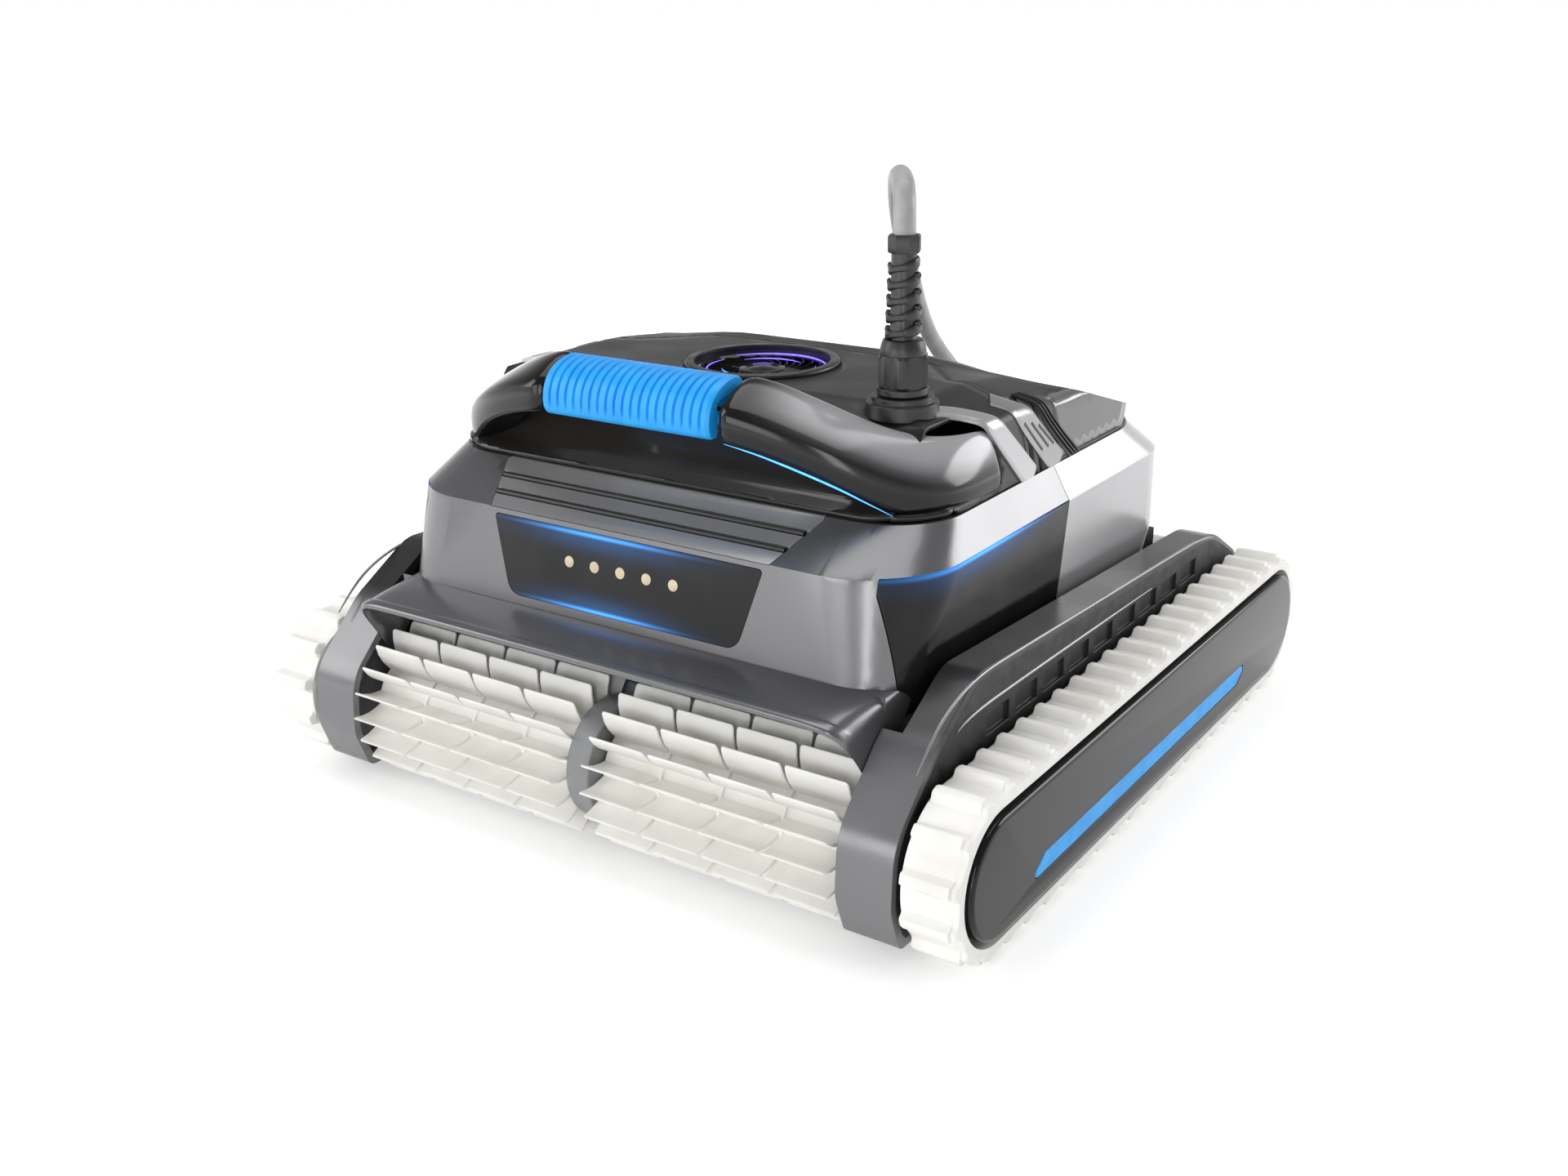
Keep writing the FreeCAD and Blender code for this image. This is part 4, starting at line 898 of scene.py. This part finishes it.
def gripShape(spec):
    # a sleeve round the bar: ribs run from one edge over the top to the other
    outer = curvePoints([Vector((0, y, z)) for y, z in spec["outside"]], 44)
    inner = [Vector((0, y, z)) for y, z in spec["hole"]]
    middle = Vector((0, *spec["middle"]))
    count = spec["ribs"] * 12
    pitch = 2 * spec["half"] / spec["ribs"]
    rings = []
    for i in range(count + 1):
        x = -spec["half"] + 2 * spec["half"] * i / count
        phase = ((x + spec["half"]) / pitch) % 1.0
        off = min(phase, 1 - phase) * 2                   # 0 in a groove, 1 on a rib's crown
        depth = spec["groove"] * max(0.0, 1 - (off / spec["grooveShare"]) ** 2)
        end = max(0.0, 1 - (spec["half"] - abs(x)) / 1.6)
        ring = []
        for k, p in enumerate(outer):
            before, after = outer[max(k - 1, 0)], outer[min(k + 1, len(outer) - 1)]
            normal = Vector((0, (after - before).z, -(after - before).y)).normalized()
            share = k / (len(outer) - 1)
            ribbed = min(1.0, max(0.0, (share - 0.05) / 0.05)) * min(1.0, max(0.0, (0.90 - share) / 0.05))
            if abs(x) > spec["half"] - pitch * 0.45:
                ribbed = 0
            push = depth * ribbed + end * 0.9
            spot = p + normal * push * (1 if normal.dot(middle - p) > 0 else -1)
            ring.append(Vector((x, spot.y, spot.z)) * mm)
        ring += [Vector((x, p.y, p.z)) * mm for p in inner]
        rings.append(ring)
    return lofted(rings)


merged("handleGrip", [gripShape(grip)], "machine", "overmouldedRubberBlue",
       replaces=["handle_grip"], angle=40)
print("handle made")


# fin brushes: rows of soft blades round each roller; mm
axle = {"y": 174.0, "z": 41.0}
brush = {"inner": 8.0, "outer": 147.0, "rows": 18, "segments": 4, "slit": 1.6, "core": 22.0, "tip": 40.0,
         "rootThickness": 2.1, "bow": 1.6, "spigot": 6.0}


def finShape(x0, x1, angle, spec, middleY, middleZ):
    # one soft blade: thick root, thin rounded tip, its corners rounded, a shallow bow along it
    steps = [(spec["core"] - 0.8, 1.35), (spec["core"] + 0.6, 1.12), (spec["core"] + 3, 1.0), (29.0, 0.86),
             (34.0, 0.72), (38.6, 0.6), (39.6, 0.46), (spec["tip"], 0.2)]
    rings = []
    for reach, share in steps:
        thick = spec["rootThickness"] * share / 2
        bow = spec["bow"] * math.sin(math.pi * max(0, reach - spec["core"]) / (spec["tip"] - spec["core"]))
        corner = 1.6 if reach > spec["tip"] - 0.2 else 0.8 if reach > 39 else 0.25 if reach > 38 else 0.0
        ring = []
        a, b = x0 + corner, x1 - corner
        for x, side in ((a, -0.5), (a + 0.5, -1), (b - 0.5, -1), (b, -0.5), (b, 0.5), (b - 0.5, 1),
                        (a + 0.5, 1), (a, 0.5)):
            along = side * thick + bow
            ring.append(Vector((x, middleY + reach * math.cos(angle) - along * math.sin(angle),
                                middleZ + reach * math.sin(angle) + along * math.cos(angle))) * mm)
        rings.append(ring)
    return lofted(rings)


def brushShapes(spec, sideX, sideY):
    # the core with its bands, and the rows of blades in segments along it
    step = (spec["outer"] - spec["inner"]) / spec["segments"]
    y = sideY * axle["y"]
    shapes = []
    profile = [(spec["spigot"], 0.5), (spec["spigot"], spec["inner"] - 0.2), (20.5, spec["inner"]),
               (21.5, spec["inner"] + 0.8)]
    for k in range(1, spec["segments"]):
        x = spec["inner"] + k * step
        profile += [(21.5, x - 1.4), (22.6, x - 0.9), (22.6, x + 0.9), (21.5, x + 1.4)]
    profile += [(21.5, spec["outer"] - 0.8), (20.5, spec["outer"]), (5.0, spec["outer"])]
    if sideX < 0:
        profile = [(r, -x) for r, x in profile]
    shapes.append(turnedShape(profile, (0, y, axle["z"]), axis="X", segments=72))
    for row in range(spec["rows"]):
        angle = 2 * math.pi * row / spec["rows"]
        for k in range(spec["segments"]):
            a = spec["inner"] + k * step + (spec["slit"] / 2 if k else 0.3)
            b = spec["inner"] + (k + 1) * step - (spec["slit"] / 2 if k < spec["segments"] - 1 else 0.3)
            x0, x1 = sorted((a * sideX, b * sideX))
            shapes.append(finShape(x0, x1, angle if sideY < 0 else math.pi - angle, spec, y, axle["z"]))
    return shapes


for end, sideY in (("front", -1), ("rear", 1)):
    for side, sideX in (("left", -1), ("right", 1)):
        name = f"brush_{end}_{side}"
        merged(f"fins.{end}.{side}", brushShapes(brush, sideX, sideY), f"roller_{end}_{side}",
               "mouldedRubberCream", replaces=[name], angle=30)
print("brushes made")


# belts; mm
belt = {"inner": 182.0, "outer": 210.0, "baseRadius": 36.0, "insideRadius": 32.0, "lug": 5.0, "lugs": 48,
        # across one lug pitch: place and height as shares of the pitch and of the lug
        "profile": [(0.0, 0.06), (0.16, 0.0), (0.27, 0.10), (0.345, 0.55), (0.385, 0.92), (0.43, 1.0),
                    (0.57, 1.0), (0.615, 0.90), (0.655, 0.5), (0.73, 0.16), (0.86, 0.10), (0.96, 0.08)]}


def beltPoint(s, radius):
    # a place on the belt's round, a distance s along it from over the front axle
    straight, turn = 2 * axle["y"], math.pi * belt["baseRadius"]
    s = s % (2 * straight + 2 * turn)
    if s < straight:
        return -axle["y"] + s, axle["z"] + radius
    if s < straight + turn:
        a = math.pi / 2 - (s - straight) / belt["baseRadius"]
        return axle["y"] + radius * math.cos(a), axle["z"] + radius * math.sin(a)
    if s < 2 * straight + turn:
        return axle["y"] - (s - straight - turn), axle["z"] - radius
    a = -math.pi / 2 - (s - 2 * straight - turn) / belt["baseRadius"]
    return -axle["y"] + radius * math.cos(a), axle["z"] + radius * math.sin(a)


def beltShape(spec, side):
    length = 4 * axle["y"] + 2 * math.pi * spec["baseRadius"]
    pitch = length / spec["lugs"]
    low, high = spec["inner"], spec["outer"]
    # across the belt: place, and how much of a lug stands there
    across = [(low, -1.0), (low, 0.0), (low + 0.5, 0.25), (low + 1.2, 0.86), (low + 2.6, 1.0),
              (low + 4.6, 1.0), (high - 5.2, 1.0), (high - 3.4, 1.0), (high - 3.0, 0.66), (high - 1.0, 0.62),
              (high - 0.3, 0.45), (high, 0.0), (high, -1.0)]
    rings = []
    for i in range(spec["lugs"]):
        for place, height in spec["profile"]:
            s = (i + place) * pitch
            ring = []
            for x, share in across:
                r = spec["insideRadius"] if share < 0 else spec["baseRadius"] + spec["lug"] * height * share
                y, z = beltPoint(s, r)
                ring.append(Vector((x * side, y, z)) * mm)
            rings.append(ring)
    rings.append(rings[0])
    verts, faces = lofted(rings, capped=False)
    count = len(rings[0])
    last = (len(rings) - 1) * count
    faces = [tuple(i - last if i >= last else i for i in face) for face in faces]
    return verts[:last], faces


for side, name in ((1, "right"), (-1, "left")):
    merged(f"belt.{name}", [beltShape(belt, side)], "machine", "mouldedRubberCream",
           replaces=[f"belt_{name}"], angle=28)
print("belts made")


# pump outlet; mm
outlet = {"y": -45.0, "low": 207.2, "high": 211.8, "radius": 35.9, "hub": 13.0, "vanes": 24,
          "vaneLean": 0.9}


def guardShapes(spec):
    # a rim, a domed hub and thin vanes that curl from hub to rim
    middle = (0, spec["y"], 0)
    r, low, high = spec["radius"], spec["low"], spec["high"]
    hub = spec["hub"]
    shapes = [turnedShape([(0.01, low), (hub - 1, low), (hub, low + 0.8), (hub, high - 1.4),
                           (hub - 1.2, high - 0.2), (9, high + 0.1), (8, high - 0.5), (5, high + 0.3),
                           (0.01, high + 0.7)], middle)]
    rim = [(r, low), (r, high), (r - 0.8, high + 0.2), (r - 2.8, high - 1.2), (r - 3, low)]
    rings = []
    for k in range(97):
        a = 2 * math.pi * k / 96
        rings.append([(Vector((q * math.cos(a), q * math.sin(a), z)) + Vector(middle)) * mm for q, z in rim])
    shapes.append(lofted(rings, capped=False))
    for i in range(spec["vanes"]):
        start = 2 * math.pi * i / spec["vanes"]
        rings = []
        for k in range(13):
            share = k / 12
            q = hub - 0.6 + (r - 2.6 - hub + 0.6) * share
            a = start + 1.15 * share - 0.2 * share * share
            out = Vector((math.cos(a), math.sin(a), 0))
            side = Vector((-math.sin(a), math.cos(a), 0))
            ring = []
            for dx, z in ((-0.6, low + 0.4), (0.6, low + 0.4), (0.55, high - 0.9), (0, high - 0.5),
                          (-0.55, high - 0.9)):
                lean = spec["vaneLean"] * (z - low) / (high - low)
                ring.append((out * q + side * (dx + lean) + Vector((0, spec["y"], z))) * mm)
            rings.append(ring)
        shapes.append(lofted(rings))
    return shapes


merged("outletGuard", guardShapes(outlet), "machine", "polishedAbsBlack",
       replaces=["outlet_guard"])


def lightGuide(name, points, thick, look):
    # a lit guide that thins towards both ends
    last = len(points) - 1
    radii = [0.15 + 0.85 * math.sin(math.pi * i / last) for i in range(len(points))]
    splineObject(name, points, thick * mm, finishes[look], "machine", radii=radii, bevel=3)


# light guides sunk in the guard: radius, start and stop angle in degrees, height, half thickness, finish
swirls = [(33.6, 200, 330, 211.9, 0.55, "litGuideBlue"), (33.4, 20, 150, 211.9, 0.5, "litGuideViolet"),
          (29.0, 170, 268, 211.7, 0.42, "litGuideViolet"), (27.5, 300, 395, 211.7, 0.42, "litGuideBlue"),
          (22.5, 60, 150, 211.6, 0.35, "litGuideViolet"), (21.0, 215, 300, 211.6, 0.35, "litGuideBlue")]
for index, (radius, start, stop, z, thick, look) in enumerate(swirls):
    angles = [math.radians(start + (stop - start) * k / 12) for k in range(13)]
    arc = [Vector((radius * math.cos(a), outlet["y"] + radius * math.sin(a), z)) * mm for a in angles]
    lightGuide(f"outletLight.{index}", arc, thick, look)
print("outlet made")


# lights in the front panel; mm
ledRow = {"count": 5, "pitch": 16.0, "z": 134.7, "radius": 2.3}
panelSurface = surfaceOf("led_window")


def ledShapes(spec):
    # low domes on the window, each in a flat rim: radius and height over its surface
    r = spec["radius"]
    shapes = []
    for i in range(spec["count"]):
        x = (i - (spec["count"] - 1) / 2) * spec["pitch"]
        spot, normal, _, _ = panelSurface.ray_cast(Vector((x, -300, spec["z"])) * mm, Vector((0, 1, 0)))
        side = Vector((1, 0, 0))
        up = normal.cross(side).normalized()
        rings = []
        for radius, lift in ((r + 0.6, -0.4), (r + 0.5, 0.10), (r, 0.22), (r * 0.7, 0.5), (r * 0.3, 0.66),
                             (0.05, 0.7)):
            rings.append([spot + (side * math.cos(t) + up * math.sin(t)) * radius * mm + normal * lift * mm
                          for t in (2 * math.pi * k / 24 for k in range(24))])
        shapes.append(lofted(rings))
    return shapes


merged("panelLights", ledShapes(ledRow), "machine", "litLampWarm")

# a blue glow along the handle's right arm only, a painted highlight where a reflection shows; mm
armHighlightGlow = [(58, -157.9, 204.6), (70, -155.9, 202.4), (84, -152.4, 198.2), (98, -147.8, 193.0),
            (110, -142.2, 187.4), (120, -136.2, 181.2), (129, -129.6, 175.2)]
# this glow is a painted highlight: a lit guide standing for a reflection on the right arm
lightGuide("paintedHighlight.armRight", [Vector(p) * mm for p in armHighlightGlow], 0.5, "litGuideBlue")
print("lights made")

# dark rods laid in the two grooves between the slats as painted shade: y and z of the grille's foot and head,
# in mm
slats = {"foot": (-163, 154), "head": (-134.6, 171), "shares": (0.31, 0.65), "half": (88, 92),
         "radius": 1.5}
for i, (share, half) in enumerate(zip(slats["shares"], slats["half"])):
    y, z = (low + (high - low) * share for low, high in zip(slats["foot"], slats["head"]))
    line = [Vector((x, y + 0.2, z - 0.5)) * mm for x in (-half, -half / 2, 0, half / 2, half)]
    # a charcoal rod down the groove, painted shade where the groove lies in shadow
    groove = splineObject(f"paintedGrooveShade.{i}", line, slats["radius"] * mm, finishes["satinAbsCharcoal"],
                          "machine", bevel=3)

# bumper skirt
# stations from the middle to the right end: foot of the wall, then edge over the brush, in mm
skirt = {"stations": [((0, -169.6, 107.4), (0, -204.4, 104.6)),
                      ((60, -169.6, 107.4), (60, -204.4, 104.6)),
                      ((108, -169.6, 107.4), (110, -204.4, 104.6)),
                      ((124, -169.2, 107.3), (128, -204.4, 104.5)),
                      ((135, -166.2, 107.1), (138, -204.2, 104.0)),
                      ((142, -161.6, 106.8), (144.4, -202.4, 101.6)),
                      ((146.6, -155.8, 106.4), (148.2, -198.2, 96.0)),
                      ((149.0, -150.4, 105.6), (149.4, -191.4, 86.6)),
                      ((150.0, -146.0, 104.0), (149.8, -183.4, 74.0)),
                      ((150.2, -143.6, 102.0), (150.0, -178.0, 66.0))],
         "thick": 2.6, "bulge": 1.4, "step": 0.55}


def skirtRing(foot, edge, spec, side):
    # its section: a bulged top with a small step near the edge, the rolled edge, then back beneath
    f, e = Vector(foot), Vector(edge)
    away = Vector((e.x - f.x, e.y - f.y, 0)).normalized()
    along = e - f
    outward = Vector((away.x * 0.35, away.y * 0.35, 0.94))
    ring = []
    for share in (0.0, 0.04, 0.2, 0.4, 0.6, 0.78, 0.865, 0.88, 0.9, 0.985):
        lift = spec["bulge"] * math.sin(math.pi * min(1.0, share * 1.05))
        ring.append(f + along * share + outward * (lift + (spec["step"] if share > 0.87 else 0.0)))
    ring.append(e + away * 0.7 + Vector((0, 0, -0.6)))
    ring.append(e + away * 0.3 + Vector((0, 0, -2.8)))
    ring.append(e - away * 1.4 + Vector((0, 0, -3.4)))
    beneath = Vector((0, 0, -spec["thick"]))
    for share in (0.8, 0.5, 0.2, 0.03):
        ring.append(f + along * share + beneath + outward * spec["bulge"] * 0.5 * math.sin(math.pi * share))
    return [Vector((p.x * side, p.y, p.z)) * mm for p in ring]


rightEnd = [skirtRing(foot, edge, skirt, 1) for foot, edge in skirt["stations"]]
leftEnd = [skirtRing(foot, edge, skirt, -1) for foot, edge in skirt["stations"][1:]]
lip = merged("bumperSkirt", [lofted(leftEnd[::-1] + rightEnd)], "machine", "lacqueredAbsGunmetal",
             angle=50)
lipRounding = lip.modifiers.new("rounding", "SUBSURF")
lipRounding.levels = lipRounding.render_levels = 2
print("bumper made")

# straps and insets on the covers: each has a line as y and distance up the section, its width at both
# ends and its rise in mm, its finish and its slot
slotLine = [(-14, 44), (-8, 34), (-0.5, 24), (10, 12), (21, 0)]
insets = {"coverStrap": ([(-95, 56), (-84, 54), (-74, 50), (-64, 41), (-54, 27), (-40.5, 12), (-29, -1)],
                         (8, 16), 1.6, "lacqueredAbsLight", "gunmetal_shell"),
          "coverPanel": ([(-36, 46), (-29, 34), (-21, 24), (-8, 10), (2, -1)],
                         (15, 17), 0.9, "lacqueredAbsSilver", "gunmetal_shell"),
          "coverSlot": (slotLine, (8, 10.5), 0.7, "satinAbsCharcoal", "black_cover"),
          "coverSlitA": ([(-28, 26), (-14, 10)], (1.9, 1.9), 1.15, "satinAbsCharcoal", "black_cover"),
          "coverSlitB": ([(-20.5, 25), (-7, 10.5)], (1.9, 1.9), 1.15, "satinAbsCharcoal", "black_cover"),
          "coverSlitC": ([(-13.5, 23), (-1, 11)], (1.9, 1.9), 1.15, "satinAbsCharcoal", "black_cover")}
for name, offset in (("A", -3.4), ("B", 0.0), ("C", 3.4)):
    ribLine = [(y + offset, up) for y, up in slotLine]
    insets[f"coverRib{name}"] = (ribLine, (0.9, 1.2), 1.8, "satinAbsBlack", "black_cover")
for side, end in ((1, "right"), (-1, "left")):
    for name, (line, widths, rise, look, slotName) in insets.items():
        insetOn(f"{name}.{end}", line, widths, rise, side, look)
print("straps made")

# trims on the fenders: each has its x, a line of y and z, and a radius; mm
fenderTrims = {"edge": (177.6, [(-190, 86), (-178, 98), (-160, 107.4), (-136, 112.4), (-100, 111),
                                (0, 106), (100, 101.2), (140, 98.6), (156, 94)], 0.8),
               "ridge": (178.3, [(-156, 93), (-148, 96.5), (-100, 96), (0, 93.6), (60, 92)], 0.9)}
for side, end in ((1, "right"), (-1, "left")):
    for name, (x, line, radius) in fenderTrims.items():
        trim = splineObject(f"fenderTrim.{name}.{end}", [Vector((x * side, y, z)) * mm for y, z in line],
                            radius * mm, finishes["lacqueredAbsSilver"], "machine", bevel=3,
                            radii=[0.4] + [1.0] * (len(line) - 2) + [0.4])
print("trims made")

# floor and light; metres
studio = {"floor": 60.0, "floorColour": "#F4F4F4", "nearGlow": 0.38, "farGlow": 1.0, "fadeStart": 0.5,
          "fadeEnd": 1.6,
          # the cove and ceiling round it, from the horizon up: height as a share, and colour
          "horizon": (0.0, "#FFFFFF"), "between": [(0.10, "#FFFFFF"), (0.22, "#B9B9BB"), (0.45, "#87878A")],
          "ceiling": (0.9, "#8A8A8C")}


def floorMaterial(spec):
    # matt seamless paper: faint fibre mottling, and a lift where the camera or a gloss surface sees it
    made, tree, place = newMaterial("seamlessPaperWhite")
    seen = node(tree, "ShaderNodeLightPath")
    direct = node(tree, "ShaderNodeMath", {"operation": "MAXIMUM"},
                  {0: seen.outputs["Is Camera Ray"], 1: seen.outputs["Is Glossy Ray"]})
    direct = node(tree, "ShaderNodeMath", {"operation": "MAXIMUM"},
                  {0: direct.outputs[0], 1: seen.outputs["Is Transmission Ray"]})
    # paper near the object keeps its shadow, and further off it fades to the white of the background
    away = node(tree, "ShaderNodeVectorMath", {"operation": "LENGTH"}, {0: place})
    fade = node(tree, "ShaderNodeMapRange", {"interpolation_type": "SMOOTHSTEP"},
                {"Value": away.outputs["Value"], "From Min": spec["fadeStart"], "From Max": spec["fadeEnd"]})
    glow = node(tree, "ShaderNodeMapRange",
                sockets={"Value": fade.outputs["Result"], "To Min": spec["nearGlow"],
                         "To Max": spec["farGlow"]})
    lift = node(tree, "ShaderNodeMath", {"operation": "MULTIPLY"},
                {0: direct.outputs[0], 1: glow.outputs["Result"]})
    paper = node(tree, "ShaderNodeBsdfPrincipled",
                 sockets={"Base Color": mottled(tree, place, "#EFEFEE", spec["floorColour"], 3),
                          "Roughness": 0.9, "Normal": grain(tree, place, 1.2, 0.05),
                          "Emission Color": (1, 1, 1, 1), "Emission Strength": lift.outputs[0]})
    finish(tree, paper)
    return made


def makeFloor(spec):
    half = spec["floor"] / 2
    verts, faces = [], []
    steps = 8
    for i in range(steps + 1):
        for j in range(steps + 1):
            verts.append((-half + spec["floor"] * i / steps, -half + spec["floor"] * j / steps, 0))
    for i in range(steps):
        for j in range(steps):
            a = i * (steps + 1) + j
            faces.append((a, a + 1, a + steps + 2, a + steps + 1))
    mesh = bpy.data.meshes.new("floor")
    mesh.from_pydata(verts, [], faces)
    mesh.materials.append(floorMaterial(spec))
    made = bpy.data.objects.new("floor", mesh)
    scene.collection.objects.link(made)


makeFloor(studio)

# soft boxes: place, the point each faces, width and height in metres, watts
softBoxes = {"overhead": ((-0.1, 0.25, 1.7), (0, 0, 0.1), 1.5, 1.3, 15),
             "frontLeft": ((-1.5, -1.1, 0.95), (0, -0.05, 0.12), 0.8, 1.2, 12),
             "rightRear": ((1.25, 1.45, 0.75), (0.05, 0.05, 0.12), 1.1, 0.8, 15),
             "frontStrip": ((0.85, -1.55, 0.45), (0.1, -0.1, 0.12), 0.3, 0.9, 5),
             "frontFill": ((-0.4, -1.9, 0.45), (0, -0.15, 0.05), 1.2, 0.6, 8)}
for name, (place, aim, width, height, watts) in softBoxes.items():
    data = bpy.data.lights.new(name, "AREA")
    data.shape = "RECTANGLE"
    data.size, data.size_y = width, height
    data.energy = watts
    made = bpy.data.objects.new(name, data)
    made.location = place
    made.rotation_euler = (Vector(aim) - Vector(place)).to_track_quat("-Z", "Y").to_euler()
    scene.collection.objects.link(made)


def makeWorld(spec):
    # a white cove low down that turns to a grey ceiling overhead
    world = bpy.data.worlds.new("studio")
    world.use_nodes = True
    tree = world.node_tree
    tree.nodes.clear()
    place = node(tree, "ShaderNodeTexCoord").outputs["Generated"]
    parts = node(tree, "ShaderNodeSeparateXYZ", sockets={"Vector": place})
    ramp = node(tree, "ShaderNodeValToRGB", sockets={"Fac": parts.outputs["Z"]})
    stops = ramp.color_ramp.elements
    for stop, (position, code) in zip(stops, (spec["horizon"], spec["ceiling"])):
        stop.position, stop.color = position, linear(code)
    for position, code in spec["between"]:
        stops.new(position).color = linear(code)
    shown = node(tree, "ShaderNodeBackground", sockets={"Color": ramp.outputs["Color"], "Strength": 1.0})
    node(tree, "ShaderNodeOutputWorld", sockets={"Surface": shown.outputs[0]})
    scene.world = world


makeWorld(studio)
print("studio lit")
